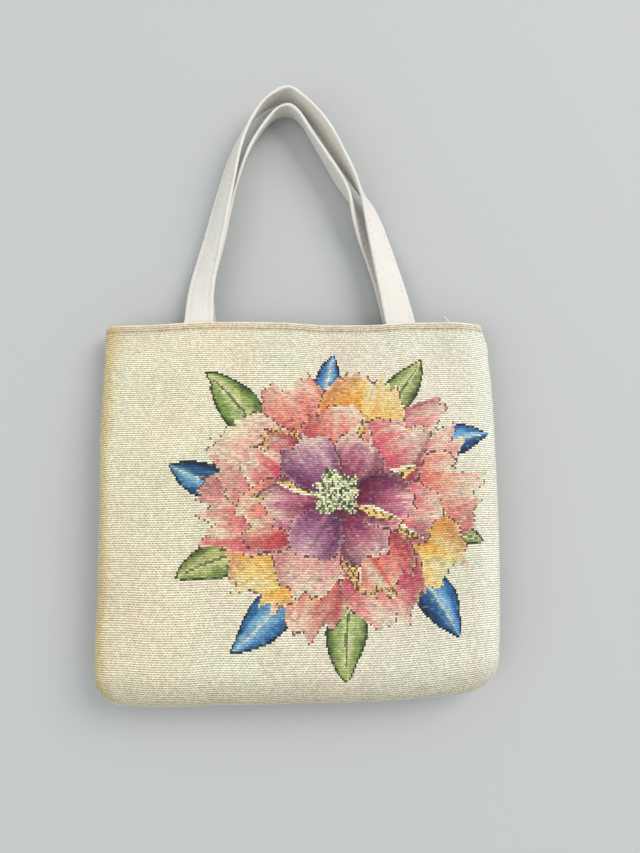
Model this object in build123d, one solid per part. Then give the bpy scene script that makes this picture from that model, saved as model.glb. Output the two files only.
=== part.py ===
from build123d import *
import math
import os
import numpy as np

# Small gusseted tapestry tote used as a knitting project bag, lying on its back.
# Frame: origin at the middle of the back panel's resting face, +X across the bag,
# +Y from the bottom of the bag to the handles, +Z out of the front panel. Millimetres.

# ---- driving dimensions -------------------------------------------------------
HALF_W = 127.0          # half width of the bag
HEM_HALF_W = 123.5      # half width at the rim
BOTTOM_Y = -121.0       # lowest point of the bag's bottom
HEM_Y = 119.5           # rim
FRONT_HEM_Z = 18.0      # outer face of the front rim
FRONT_TOP_Z = 35.0      # highest point of the front panel
SHELL_T = 1.2           # woven tapestry
HEM_T = 2.4             # tapestry turned over at the rim
HEM_DEPTH = 25.0        # depth of the turned rim
PAD_T = 0.9             # fusible interlining
LINING_T = 0.5          # cotton lining
GAP = 0.12              # clearance between cloth layers
GUSSET_FOLD = 24.0      # how deep the gusset folds inward
SEAM_Z = 14.5           # height of the front seam round the sides
SEAM_HEM_Z = 12.0       # height of the front seam at the rim
BACK_SEAM_Z = 2.6       # height of the back seam
STRAP_W = 19.0          # handle width
STRAP_T = 2.6           # handle thickness, cover and core together
COVER_T = 0.7           # folded cotton cover's wall
STRAP_X = 66.0          # handle leg, centre line from the bag's middle
STRAP_END_T = 1.6       # flattened handle end inside the rim
FRONT_PIVOT = (0.0, 121.5, 18.6)   # fold line of the front handle
BACK_PIVOT = (0.0, 121.5, -0.2)    # fold line of the back handle
POCKET = (120.0, 92.0)  # slip pocket, width and height
STITCH_DOWN = 5.0       # hem stitching below the rim
THREAD = 0.45           # sewing thread

os.makedirs("parts", exist_ok=True)


# ---- helpers -------------------------------------------------------------------
def solid_from(faces):
    made = [Face(Wire.make_polygon([Vector(*map(float, p)) for p in f], close=True)) for f in faces]
    s = Solid(Shell(made))
    return s


def quad(a, b, c, d):
    n = np.cross(b - a, c - a)
    if abs(np.dot(n, d - a)) < 1e-7 * max(np.linalg.norm(n), 1e-9):
        return [[a, b, c, d]]
    return [[a, b, c], [a, c, d]]


def plate(p, q):
    """Closed plate between two grids of points, p outside and q inside."""
    p, q = np.asarray(p, float), np.asarray(q, float)
    nu, nv = p.shape[:2]
    faces = []
    for i in range(nu - 1):
        for j in range(nv - 1):
            faces += quad(p[i, j], p[i + 1, j], p[i + 1, j + 1], p[i, j + 1])
            faces += quad(q[i, j], q[i, j + 1], q[i + 1, j + 1], q[i + 1, j])
    for i in range(nu - 1):
        faces += quad(p[i, 0], q[i, 0], q[i + 1, 0], p[i + 1, 0])
        faces += quad(p[i, nv - 1], p[i + 1, nv - 1], q[i + 1, nv - 1], q[i, nv - 1])
    for j in range(nv - 1):
        faces += quad(p[0, j], p[0, j + 1], q[0, j + 1], q[0, j])
        faces += quad(p[nu - 1, j], q[nu - 1, j], q[nu - 1, j + 1], p[nu - 1, j + 1])
    return solid_from(faces)


def slab(outline, z0, z1):
    """Flat plate with a polygon outline."""
    face = Face(Wire.make_polygon([Vector(x, y, z0) for x, y in outline], close=True))
    return extrude(face, amount=z1 - z0, dir=(0, 0, 1))


def tube(outer):
    """Sweep through polygon stations. Opposite faces share their diagonals' direction, so a twisted strip keeps its thickness."""
    outer = np.asarray(outer, float)
    n, k = outer.shape[:2]
    faces = []
    for i in range(n - 1):
        for a in range(k):
            b = (a + 1) % k
            p, q, r, s = outer[i, a], outer[i, b], outer[i + 1, b], outer[i + 1, a]
            faces += quad(p, q, r, s) if a < k // 2 else quad(q, r, s, p)
    faces += [list(outer[0][::-1]), list(outer[-1])]
    return solid_from(faces)


def normals(g):
    """Unit normals of a grid of points, facing out of the front."""
    du = np.gradient(g, axis=0)
    dv = np.gradient(g, axis=1)
    n = np.cross(du, dv)
    return n / np.linalg.norm(n, axis=2, keepdims=True)


def smooth(points, count):
    """Even points along a Catmull-Rom line through the given points."""
    p = np.asarray(points, float)
    p = np.vstack([2 * p[0] - p[1], p, 2 * p[-1] - p[-2]])
    fine = []
    for i in range(1, len(p) - 2):
        for t in np.linspace(0, 1, 40, endpoint=False):
            a, b, c, d = p[i - 1], p[i], p[i + 1], p[i + 2]
            fine.append(0.5 * ((2 * b) + (c - a) * t + (2 * a - 5 * b + 4 * c - d) * t**2 + (3 * b - a - 3 * c + d) * t**3))
    fine.append(p[-2])
    fine = np.array(fine)
    along = np.concatenate([[0], np.cumsum(np.linalg.norm(np.diff(fine[:, :3], axis=0), axis=1))])
    at = np.linspace(0, along[-1], count)
    return np.stack([np.interp(at, along, fine[:, k]) for k in range(fine.shape[1])], axis=1), along[-1]


# ---- front surface -------------------------------------------------------------
ROWS = [-119.0, -121.0, -119.6, -112.0, -95.0, -50.0, 0.0, 45.0, 80.0, 92.0, 94.5, 108.0, HEM_Y]
ROW_G = [0.0, 0.28, 0.60, 0.86, 0.97, 1, 1, 1, 1, 1, 1, 1, 1]
COLS = [0.0, 30.0, 56.5, 75.5, 98.0, 114.0, 122.5, 127.0, 125.4]
COL_G = [1, 1, 1, 1, 0.97, 0.86, 0.60, 0.28, 0.0]
COLS = [-c for c in COLS[:0:-1]] + COLS
COL_G = COL_G[:0:-1] + COL_G


def crest(y):
    return float(np.interp(y, [-121, -95, -50, 0, 45, 80, 94.5, 108, HEM_Y],
                           [34.4, 34.6, FRONT_TOP_Z, 34.4, 31.0, 26.2, 23.6, 20.8, FRONT_HEM_Z]))


def seam_z(y):
    return float(np.interp(y, [-121, 60, HEM_Y], [SEAM_Z, SEAM_Z, SEAM_HEM_Z]))


def narrow(y):
    return float(np.interp(y, [-121, 85, HEM_Y], [1.0, 1.0, HEM_HALF_W / HALF_W]))


def rounded(x, y, k=0.5):
    """Pulls the two bottom corners of the outline in to a round."""
    a, b = abs(x) / HALF_W, -y / 121.0
    p, q = max(0.0, (a - 0.6) / 0.4), max(0.0, (b - 0.6) / 0.4)
    if p > 0 and q > 0:
        p2, q2 = p * math.sqrt(max(0.0, 1 - k * q * q / 2)), q * math.sqrt(max(0.0, 1 - k * p * p / 2))
        x = math.copysign((0.6 + 0.4 * p2) * HALF_W, x)
        y = -(0.6 + 0.4 * q2) * 121.0
    return x, y


front = np.zeros((len(COLS), len(ROWS), 3))
for i, (cx, cg) in enumerate(zip(COLS, COL_G)):
    for j, (ry, rg) in enumerate(zip(ROWS, ROW_G)):
        z = seam_z(ry) + (crest(ry) - seam_z(ry)) * cg * rg
        x, y = rounded(cx * narrow(ry), ry)
        front[i, j] = (x, y, z)
front_n = normals(front)


def layer(i0, i1, j0, j1, near, far):
    """Plate inside the front surface between two depths, which may vary with y."""
    g, n = front[i0:i1, j0:j1], front_n[i0:i1, j0:j1]
    ys = np.array(ROWS[j0:j1])
    a, b = np.array([near(y) for y in ys]), np.array([far(y) for y in ys])
    return plate(g - n * a[None, :, None], g - n * b[None, :, None])


NC, NR = len(COLS), len(ROWS)
front_panel = layer(0, NC, 0, NR, lambda y: 0.0, lambda y: HEM_T if y > 93 else SHELL_T)
front_interlining = layer(2, NC - 2, 2, 10, lambda y: SHELL_T + GAP, lambda y: SHELL_T + GAP + PAD_T)
END_NEAR = HEM_T + GAP
END_FAR = END_NEAR + STRAP_END_T
LIN_LOW = SHELL_T + GAP + PAD_T + GAP
LIN_HEM = END_FAR + GAP
front_lining = layer(2, NC - 2, 2, NR, lambda y: LIN_HEM if y > 93 else LIN_LOW,
                     lambda y: (LIN_HEM if y > 93 else LIN_LOW) + LINING_T)

# ---- border path shared by the gusset panels -----------------------------------

def inward(path):
    """Directions pointing into the bag along a border path; they never cross at the corners."""
    span = HEM_Y - BOTTOM_Y
    return [np.array([-p[0] / HALF_W, (HEM_Y - p[1]) / span]) for p in path]


# Rows 0 to 2 run round the rolled edge and share almost one place, so the side paths leave two out.
left_path = [front[0, j] for j in range(NR - 1, 2, -1)] + [front[0, 0]]
bottom_path = [front[0, 0]] + [front[i, 0] for i in range(2, NC - 2)] + [front[NC - 1, 0]]
right_path = [front[NC - 1, 0]] + [front[NC - 1, j] for j in range(3, NR)]
whole = left_path[:-1] + bottom_path + right_path[1:]
whole_in = inward(whole)
NL, NB = len(left_path), len(bottom_path)


def strip(k0, k1, outside, inside, trim=0.0):
    """Folded strip along the border: each side is a list of (distance inward, height function)."""
    grid_p, grid_q = [], []
    pts = [np.array(whole[k], float) for k in range(k0, k1)]
    ins = [whole_in[k] for k in range(k0, k1)]
    for row, poly in ((grid_p, outside), (grid_q, inside)):
        for pt, n in zip(pts, ins):
            row.append([np.array([pt[0] + n[0] * d, pt[1] + n[1] * d, h(pt[2])]) for d, h in poly])
    return plate(np.array(grid_q), np.array(grid_p))


def fold_z(za):
    return (za - 0.9 + BACK_SEAM_Z) / 2


A_OUT = [(0.6, lambda z: z - 1.5), (GUSSET_FOLD, fold_z), (0.6, lambda z: BACK_SEAM_Z)]
A_IN = [(0.6, lambda z: z - 0.45), (GUSSET_FOLD + 2.0, fold_z), (0.6, lambda z: BACK_SEAM_Z - 1.05)]


def arm(d, upper, extra):
    """Height of the gusset's inner face at a distance inward, moved off it by extra."""
    def h(z):
        a = z - 0.45 if upper else BACK_SEAM_Z - 1.05
        t = (d - 0.6) / (GUSSET_FOLD + 1.4)
        return a + (fold_z(z) - a) * t + (extra if upper else -extra)
    return h


L_OUT = [(9.5, arm(9.5, True, 0.2)), (GUSSET_FOLD + 2.5, fold_z), (9.5, arm(9.5, False, 0.2))]
L_IN = [(9.5, arm(9.5, True, 0.7)), (GUSSET_FOLD + 4.2, fold_z), (9.5, arm(9.5, False, 0.7))]

left_gusset = strip(0, NL, A_OUT, A_IN)
bottom_panel = strip(NL - 1, NL - 1 + NB, A_OUT, A_IN)
right_gusset = strip(NL + NB - 2, len(whole), A_OUT, A_IN)
left_gusset_lining = strip(0, NL, L_OUT, L_IN)
bottom_panel_lining = strip(NL - 1, NL - 1 + NB, L_OUT, L_IN)
right_gusset_lining = strip(NL + NB - 2, len(whole), L_OUT, L_IN)


# ---- back half -----------------------------------------------------------------
def outline(inset, top):
    pts = []
    for p, n in zip(whole, whole_in):
        x, y = p[0] + n[0] * inset, p[1] + n[1] * inset
        pts.append((x, min(y, top)))
    return pts


back_panel = slab(outline(0.2, HEM_Y), 0.0, SHELL_T) + Pos(0, HEM_Y - HEM_DEPTH / 2, (SHELL_T + HEM_T) / 2) * Box(
    2 * (HEM_HALF_W - 9.5), HEM_DEPTH, HEM_T - SHELL_T)
back_interlining = slab(outline(5.5, HEM_Y - HEM_DEPTH - 1.0), SHELL_T + GAP, SHELL_T + GAP + PAD_T)

LX = HEM_HALF_W - GUSSET_FOLD - 6.0
rows_b = [(-106.0, LIN_LOW), (60.0, LIN_LOW), (86.0, LIN_LOW), (94.0, LIN_HEM), (HEM_Y, LIN_HEM)]
back_lining = plate(
    [[np.array([x, y, z + LINING_T]) for y, z in rows_b] for x in (-LX, 0.0, LX)],
    [[np.array([x, y, z]) for y, z in rows_b] for x in (-LX, 0.0, LX)],
)
PZ = LIN_LOW + LINING_T + 0.1
slip_pocket = Pos(0, 2.0, PZ + 0.35) * Box(POCKET[0], POCKET[1], 0.7)

# ---- handle ends sewn into the rims ---------------------------------------------
back_ends = [Pos(s * STRAP_X, HEM_Y - 12.5, HEM_T + GAP + STRAP_END_T / 2) * Box(STRAP_W, 24.6, STRAP_END_T) for s in (-1, 1)]
back_handle_sewn_ends = Compound(children=[b.solid() for b in back_ends])


def front_end(sign):
    js = [10, 11, 12]
    i_in, i_out = (COLS.index(56.5), COLS.index(75.5)) if sign > 0 else (COLS.index(-75.5), COLS.index(-56.5))
    g, n = front[i_in:i_out + 1, 10:13].copy(), front_n[i_in:i_out + 1, 10:13]
    return plate(g - n * (END_NEAR), g - n * END_FAR)


front_handle_sewn_ends = Compound(children=[front_end(-1), front_end(1)])

# ---- handles: centre line x, y, z and twist in degrees; the back handle lies inside and under the front one ----
FRONT_LINE = [
    (-66.0, 121.2, 15.2, 0), (-64.3, 146.2, 14.6, 22.6), (-56.6, 182.1, 14.5, 37.7), (-49.6, 216.4, 15.2, 49.5),
    (-41.4, 248.5, 14.0, 64.0), (-27.8, 273.8, 12.6, 74.0), (-10.2, 285.2, 10.8, 91.0), (2.0, 278.1, 11.3, 95.0),
    (17.2, 259.4, 10.5, 106.0), (31.0, 234.5, 11.5, 97.0), (40.3, 215.5, 14.6, 84.0), (48.1, 197.7, 12.4, 54.0),
    (58.6, 156.6, 15.2, 28.5), (66.6, 121.2, 15.2, 0),
]
BACK_LINE = [
    (-66.0, 121.2, 3.2, 0), (-66.0, 146.2, 6.0, 25.2), (-56.6, 182.2, 7.6, 41.6), (-48.0, 216.2, 8.6, 55.8),
    (-35.4, 246.0, 9.9, 71.0), (-20.4, 268.2, 10.6, 71.0), (-8.3, 273.8, 11.8, 82.0), (0.6, 267.6, 10.4, 82.0),
    (8.6, 253.8, 11.9, 83.0), (23.3, 229.0, 11.0, 91.0), (33.5, 211.5, 11.6, 89.0), (40.8, 194.3, 8.6, 55.0),
    (57.9, 156.2, 5.0, 8.0), (66.6, 121.2, 3.2, 0),
]
STATIONS = 37
ROW_IN = 3.0            # stitching rows from the handle's edges


def axes_at(pts, k, n):
    """Horizontal, upward and twisted directions of a handle at one station."""
    a, b = pts[max(k - 1, 0)][:3], pts[min(k + 1, n - 1)][:3]
    t = (b - a) / np.linalg.norm(b - a)
    if k in (0, n - 1):
        t = np.array([0, 1.0 if k == 0 else -1.0, 0])
    h = np.cross(np.array([0, 0, 1.0]), t)
    h = h / np.linalg.norm(h)                # horizontal, out of the loop
    up = np.cross(t, h)
    phi = math.radians(pts[k][3])
    face = math.cos(phi) * up + math.sin(phi) * h
    wide = -math.sin(phi) * up + math.cos(phi) * h
    return wide, face


def sweep(line, section):
    """Stations of a handle; the section is a list of (across, out of face)."""
    pts, length = smooth(line, STATIONS)
    secs = []
    for k in range(len(pts)):
        wide, face = axes_at(pts, k, len(pts))
        secs.append([pts[k][:3] + wide * u + face * v for u, v in section])
    return np.array(secs), length


def box_section(w, t):
    return [(-w, -t), (w, -t), (w, t), (-w, t)]


def handle(line):
    w, t = STRAP_W / 2, STRAP_T / 2
    r, e = w - ROW_IN, 0.3
    across = [-w, -r - e, -r + e, r - e, r + e, w]
    outer, length = sweep(line, [(u, -t) for u in across] + [(u, t) for u in across[::-1]])
    hollow, _ = sweep(line, box_section(w - COVER_T, t - COVER_T))
    core, _ = sweep(line, box_section(w - COVER_T - 0.3, t - COVER_T - 0.18))
    # The cover is a closed turn of cloth: a band with the core's space cut through its length.
    cover = tube(outer) - tube_long(hollow)
    rows = []
    for side in (-1, 1):
        for face in (-1, 1):
            a, b = sorted((face * (t + 0.10), face * (t + 0.40)))
            th, _ = sweep(line, [(side * r - THREAD / 2, a), (side * r + THREAD / 2, a), (side * r + THREAD / 2, b), (side * r - THREAD / 2, b)])
            rows.append(tube(th[1:-1]))
    return cover, tube(core), Compound(children=rows), length


def tube_long(secs):
    """The same sweep, run 1 mm past both ends."""
    secs = secs.copy()
    secs[0] = secs[0] - np.array([0, 1.0, 0])
    secs[-1] = secs[-1] - np.array([0, 1.0, 0])
    return tube(secs)


front_handle_cover, front_handle_core, front_handle_stitching, front_len = handle(FRONT_LINE)
back_handle_cover, back_handle_core, back_handle_stitching, back_len = handle(BACK_LINE)

# ---- hem stitching ---------------------------------------------------------------
SY = HEM_Y - STITCH_DOWN
tz = (SY - 108.0) / (HEM_Y - 108.0)
cols = range(COLS.index(-114.0), COLS.index(114.0) + 1)
top, low = [], []
for i in cols:
    a, b, n = front[i, 11], front[i, 12], front_n[i, 12]
    c = a + (b - a) * tz
    e = (b - a) / np.linalg.norm(b - a)
    n = np.cross(np.array([1.0, 0, 0]), e)
    top.append([c - e * THREAD / 2 + n * 0.36, c + e * THREAD / 2 + n * 0.36])
    low.append([c - e * THREAD / 2 + n * 0.08, c + e * THREAD / 2 + n * 0.08])
front_hem_stitching = plate(np.array(top), np.array(low))
back_hem_stitching = Pos(0, SY, HEM_T + 0.02 + 0.05) * Box(2 * (STRAP_X - STRAP_W / 2 - 1.5), THREAD, 0.1)

parts = {
    "front_panel": front_panel, "front_interlining": front_interlining, "front_lining": front_lining,
    "front_hem_stitching": front_hem_stitching, "front_handle_sewn_ends": front_handle_sewn_ends,
    "back_panel": back_panel, "back_interlining": back_interlining, "back_lining": back_lining,
    "slip_pocket": slip_pocket, "back_hem_stitching": back_hem_stitching, "back_handle_sewn_ends": back_handle_sewn_ends,
    "left_gusset": left_gusset, "bottom_panel": bottom_panel, "right_gusset": right_gusset,
    "left_gusset_lining": left_gusset_lining, "bottom_panel_lining": bottom_panel_lining,
    "right_gusset_lining": right_gusset_lining,
    "front_handle_cover": front_handle_cover, "front_handle_core": front_handle_core,
    "front_handle_stitching": front_handle_stitching,
    "back_handle_cover": back_handle_cover, "back_handle_core": back_handle_core,
    "back_handle_stitching": back_handle_stitching,
}
for name, shape in parts.items():
    export_step(shape, f"parts/{name}.step")
print("handle lengths between rims", round(front_len, 1), round(back_len, 1))
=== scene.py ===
import math

import bpy
import numpy as np
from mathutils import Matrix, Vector


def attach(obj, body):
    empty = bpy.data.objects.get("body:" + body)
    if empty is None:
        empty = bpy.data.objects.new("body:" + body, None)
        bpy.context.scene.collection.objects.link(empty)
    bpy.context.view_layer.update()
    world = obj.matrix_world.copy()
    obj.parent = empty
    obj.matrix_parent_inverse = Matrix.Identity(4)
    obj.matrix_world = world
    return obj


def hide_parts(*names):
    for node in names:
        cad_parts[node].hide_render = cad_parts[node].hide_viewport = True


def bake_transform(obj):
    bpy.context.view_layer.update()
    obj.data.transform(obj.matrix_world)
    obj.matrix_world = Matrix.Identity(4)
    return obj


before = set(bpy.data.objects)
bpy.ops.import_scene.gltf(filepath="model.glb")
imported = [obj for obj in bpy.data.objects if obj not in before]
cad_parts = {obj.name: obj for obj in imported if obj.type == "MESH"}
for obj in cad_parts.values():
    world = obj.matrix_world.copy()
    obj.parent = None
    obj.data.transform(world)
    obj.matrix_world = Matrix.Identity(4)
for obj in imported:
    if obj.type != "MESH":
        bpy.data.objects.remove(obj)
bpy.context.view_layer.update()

# Tapestry knitting bag lying on its back. Working units are millimetres in the frame's own axes;
# meshes are written in metres.
MM = 0.001

# ================================ numeric helpers ================================
_lattice = np.random.default_rng(11).uniform(-1.0, 1.0, (256, 256))


def noise(x, y, seed=0):
    """Smooth value noise from -1 to 1."""
    x = np.asarray(x, float) + 17.31 * seed
    y = np.asarray(y, float) + 9.73 * seed
    xi, yi = np.floor(x).astype(int), np.floor(y).astype(int)
    fx, fy = x - xi, y - yi
    fx, fy = fx * fx * (3 - 2 * fx), fy * fy * (3 - 2 * fy)
    a, b = _lattice[xi % 256, yi % 256], _lattice[(xi + 1) % 256, yi % 256]
    c, d = _lattice[xi % 256, (yi + 1) % 256], _lattice[(xi + 1) % 256, (yi + 1) % 256]
    return (a * (1 - fx) + b * fx) * (1 - fy) + (c * (1 - fx) + d * fx) * fy


def ramp(a, b, x):
    t = np.clip((np.asarray(x, float) - a) / (b - a), 0, 1)
    return t * t * (3 - 2 * t)


def bell(x, at, sigma):
    return np.exp(-((np.asarray(x, float) - at) / sigma) ** 2)


def lin(*c):
    """Linear colour of an 8-bit display colour."""
    c = np.asarray(c, float).reshape(-1) / 255.0
    return np.where(c <= 0.04045, c / 12.92, ((c + 0.055) / 1.055) ** 2.4)


def catmull(points, count):
    """Even points along a smooth line through the given points, and its length."""
    p = np.asarray(points, float)
    p = np.vstack([2 * p[0] - p[1], p, 2 * p[-1] - p[-2]])
    fine = []
    for i in range(1, len(p) - 2):
        for t in np.linspace(0, 1, 40, endpoint=False):
            a, b, c, d = p[i - 1], p[i], p[i + 1], p[i + 2]
            fine.append(0.5 * ((2 * b) + (c - a) * t + (2 * a - 5 * b + 4 * c - d) * t**2 + (3 * b - a - 3 * c + d) * t**3))
    fine.append(p[-2])
    fine = np.array(fine)
    along = np.concatenate([[0], np.cumsum(np.linalg.norm(np.diff(fine[:, :3], axis=0), axis=1))])
    at = np.linspace(0, along[-1], count) if np.isscalar(count) else np.asarray(count, float) * along[-1]
    return np.stack([np.interp(at, along, fine[:, k]) for k in range(fine.shape[1])], axis=1), along[-1]


def unit(v):
    return v / np.maximum(np.linalg.norm(v, axis=-1, keepdims=True), 1e-12)


def grid_normals(g):
    return unit(np.cross(np.gradient(g, axis=0), np.gradient(g, axis=1)))


# ================================ mesh builders ================================
def mesh_from(name, verts, quads, fabric=None, colours=None, attribute="thread"):
    """An object from points in mm and quad indices; colours are per face corner."""
    me = bpy.data.meshes.new(name)
    verts, quads = np.asarray(verts, float), np.asarray(quads, int)
    n, f = len(verts), len(quads)
    me.vertices.add(n)
    me.vertices.foreach_set("co", (verts * MM).astype(np.float32).ravel())
    me.loops.add(f * 4)
    me.loops.foreach_set("vertex_index", quads.astype(np.int32).ravel())
    me.polygons.add(f)
    me.polygons.foreach_set("loop_start", np.arange(0, 4 * f, 4, dtype=np.int32))
    me.polygons.foreach_set("loop_total", np.full(f, 4, dtype=np.int32))
    me.update(calc_edges=True)
    me.polygons.foreach_set("use_smooth", np.ones(f, dtype=bool))
    if fabric is not None:
        at = me.attributes.new("fabric", "FLOAT_VECTOR", "POINT")
        at.data.foreach_set("vector", np.asarray(fabric, np.float32).ravel())
    if colours is not None:
        at = me.attributes.new(attribute, "FLOAT_COLOR", "CORNER")
        c = np.ones((f * 4, 4), np.float32)
        c[:, :3] = colours.reshape(-1, 3)
        at.data.foreach_set("color", c.ravel())
    me.validate()
    o = bpy.data.objects.new(name, me)
    bpy.context.scene.collection.objects.link(o)
    return o


def grid_quads(nu, nv, closed_u=False, closed_v=False, start=0, flip=False):
    i = np.arange(nu if closed_u else nu - 1)
    j = np.arange(nv if closed_v else nv - 1)
    a, b = np.meshgrid(i, j, indexing="ij")
    a2, b2 = (a + 1) % nu, (b + 1) % nv
    q = np.stack([a * nv + b, a2 * nv + b, a2 * nv + b2, a * nv + b2], axis=-1).reshape(-1, 4) + start
    return q[:, ::-1] if flip else q


def sheet_mesh(name, g, fabric=None, colours=None, thickness=0.0):
    """A sheet over a grid of points (facing du x dv); with a thickness it becomes a closed thin body."""
    nu, nv = g.shape[:2]
    if fabric is None:
        du = np.linalg.norm(np.diff(g, axis=0), axis=2)
        dv = np.linalg.norm(np.diff(g, axis=1), axis=2)
        u = np.concatenate([np.zeros((1, nv)), np.cumsum(du, axis=0)])
        v = np.concatenate([np.zeros((nu, 1)), np.cumsum(dv, axis=1)], axis=1)
        fabric = np.stack([u, v, np.zeros_like(u)], axis=2)
    if thickness <= 0:
        return mesh_from(name, g.reshape(-1, 3), grid_quads(nu, nv), fabric.reshape(-1, 3), colours)
    under = g - grid_normals(g) * thickness
    n = nu * nv
    quads = [grid_quads(nu, nv), grid_quads(nu, nv, start=n, flip=True)]
    ring = [(i, 0) for i in range(nu)] + [(nu - 1, j) for j in range(1, nv)] + [(i, nv - 1) for i in range(nu - 2, -1, -1)] + [(0, j) for j in range(nv - 2, 0, -1)]
    ids = np.array([i * nv + j for i, j in ring])
    nxt = np.roll(ids, -1)
    quads.append(np.stack([ids, ids + n, nxt + n, nxt], axis=1))
    return mesh_from(name, np.vstack([g.reshape(-1, 3), under.reshape(-1, 3)]), np.vstack(quads),
                     np.vstack([fabric.reshape(-1, 3)] * 2), None)


def stitches(name, lines, length=3.0, pitch=4.5, radius=0.28, lift=0.12, sink=0.35, sides=6):
    """Rows of separate stitches. Each line is (points, outward normals): a stitch stands proud in its middle and dives in at its ends."""
    verts, quads, count = [], [], 0
    rings = 7
    for pts, nor in lines:
        pts, nor = np.asarray(pts, float), unit(np.asarray(nor, float))
        along = np.concatenate([[0], np.cumsum(np.linalg.norm(np.diff(pts, axis=0), axis=1))])
        total = along[-1]
        k = max(1, int(total / pitch))
        for m in range(k):
            mid = (m + 0.5) * total / k + 0.12 * noise(m * 0.9, 3.3, 5)
            s = np.linspace(mid - length / 2, mid + length / 2, rings)
            s = np.clip(s, 0, total)
            c = np.stack([np.interp(s, along, pts[:, a]) for a in range(3)], axis=1)
            n = unit(np.stack([np.interp(s, along, nor[:, a]) for a in range(3)], axis=1))
            t = unit(np.gradient(c, axis=0))
            w = np.cross(t, n)
            f = np.linspace(-1, 1, rings)
            rise = lift - (sink + lift) * np.abs(f) ** 3
            rad = radius * (1 - 0.35 * np.abs(f) ** 4)
            ang = np.arange(sides) / sides * 2 * math.pi
            for r in range(rings):
                centre = c[r] + n[r] * rise[r]
                for a in ang:
                    verts.append(centre + (w[r] * math.cos(a) + n[r] * math.sin(a)) * rad[r])
            base = count
            q = grid_quads(rings, sides, closed_v=True, start=base)
            quads.append(q)
            for end, sgn in ((0, 1), (rings - 1, -1)):
                e = base + end * sides
                for a in range(1, sides - 2, 2):
                    four = [e, e + a, e + a + 1, e + a + 2]
                    quads.append(np.array([four if sgn > 0 else four[::-1]]))
            count += rings * sides
    return mesh_from(name, np.array(verts), np.vstack(quads), np.array(verts))


# ================================ the bag's form ================================
W, YB, YT = 127.0, -121.0, 119.5


def table(x, pts):
    p = np.array(pts, float)
    p = p[np.argsort(p[:, 0])]
    return np.interp(x, p[:, 0], p[:, 1])


LEFT = [(-121, -123.2), (-92.3, -123.4), (-80.5, -123.7), (-56.6, -123.4), (-32.3, -123.9), (-7.7, -124.5), (17.2, -125.2), (42.6, -126.3),
        (68.6, -126.6), (81.9, -126.6), (95.4, -126.7), (105.8, -126.8), (112.6, -127.0), (116.1, -126.9), (118.8, -126.2)]
RIGHT = [(-121, 123.0), (-92.3, 123.7), (-80.5, 124.3), (-56.6, 125.2), (-32.3, 125.8), (-7.7, 126.0), (17.2, 125.9), (42.6, 125.5),
         (68.6, 125.5), (81.9, 125.3), (95.4, 124.1), (102.3, 123.9), (105.8, 123.5), (109.1, 122.2), (112.6, 121.2), (116.1, 120.6), (118.8, 119.6)]
BOTTOM = [(-127, -119.9), (-104.7, -118.9), (-90.1, -119.7), (-68.4, -119.7), (-46.6, -118.5), (-24.8, -118.8), (-3.1, -117.9), (26, -117.4),
          (55.1, -116.8), (69.6, -115.6), (76.9, -115), (84.1, -114.4), (92.6, -113.2), (127, -110.6)]
TOP = [(-127, 117.2), (-122.0, 118.0), (-114.5, 118.4), (-98.8, 118.2), (-83.1, 119.1), (-71.2, 119.7), (-51.6, 120.3), (-28.1, 120.4), (-4.5, 120.3),
       (3.4, 119.6), (19.1, 118.4), (34.8, 118.3), (50.5, 118.4), (59.7, 118.8), (82.0, 120.0), (97.6, 120.2), (113.4, 120.5), (119, 120.0), (127, 118.8)]


def smooth_table(x, pts, width=4.0):
    return sum(w * table(np.asarray(x, float) + width * o, pts) for o, w in ((-1.5, 0.1), (-0.75, 0.2), (0, 0.4), (0.75, 0.2), (1.5, 0.1)))


CREST = [(-121, 33.6), (-95, 34.0), (-50, 34.5), (0, 34.0), (45, 30.8), (80, 26.0), (94.5, 23.4), (108, 20.6), (119.5, 17.9)]


def crest(y):
    return smooth_table(y, CREST, 7.0)


def seam_z(y):
    return np.interp(y, [-121, 60, 119.5], [14.5, 14.5, 12.0])


SIDE = [(2.0, 0.0), (0.7, 0.09), (0.0, 0.23), (0.3, 0.38), (1.3, 0.50), (3.2, 0.605), (6.2, 0.695), (10.5, 0.765), (15, 0.825), (21, 0.885), (29, 0.94), (42, 0.98), (62, 1.0), (127, 1.0)]
FOOT = [(2.0, 0.0), (0.7, 0.10), (0.0, 0.25), (0.4, 0.42), (1.6, 0.57), (4.2, 0.70), (9, 0.81), (17, 0.905), (29, 0.965), (46, 1.0), (60, 1.0)]


def profile_line(points, height, spacing_or_count, count=None):
    """Samples a (inset, rise) profile evenly along its length; returns inset and rise."""
    fine, _ = catmull([(e, g * height, 0.0) for e, g in points], 600)
    e, g = fine[:, 0], np.clip(fine[:, 1] / height, 0, 1)
    along = np.concatenate([[0], np.cumsum(np.hypot(np.diff(e), np.diff(g * height)))])
    at = np.linspace(0, along[-1], spacing_or_count)
    return np.interp(at, along, e), np.interp(at, along, g)


def lines_across(count):
    """Nominal x and rise for lines from the left seam to the right seam."""
    half = count // 2 + 1
    e, g = profile_line(SIDE, 20.0, half)
    x = np.concatenate([-(W - e), (W - e)[:-1][::-1]])
    return x, np.concatenate([g, g[:-1][::-1]])


def lines_up(count):
    """Nominal y and rise for lines from the bottom seam to the rim."""
    fine, _ = catmull([(e, g * 20.0, 0.0) for e, g in FOOT], 600)
    y, g = YB + fine[:, 0], np.clip(fine[:, 1] / 20.0, 0, 1)
    rest = np.linspace(y[-1] + 0.5, YT, 400)
    y, g = np.concatenate([y, rest]), np.concatenate([g, np.ones(400)])
    z = g * (crest(y) - 14.5)
    along = np.concatenate([[0], np.cumsum(np.hypot(np.diff(y), np.diff(z)))])
    at = np.linspace(0, along[-1], count)
    return np.interp(at, along, y), np.interp(at, along, g), along[-1]


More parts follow.
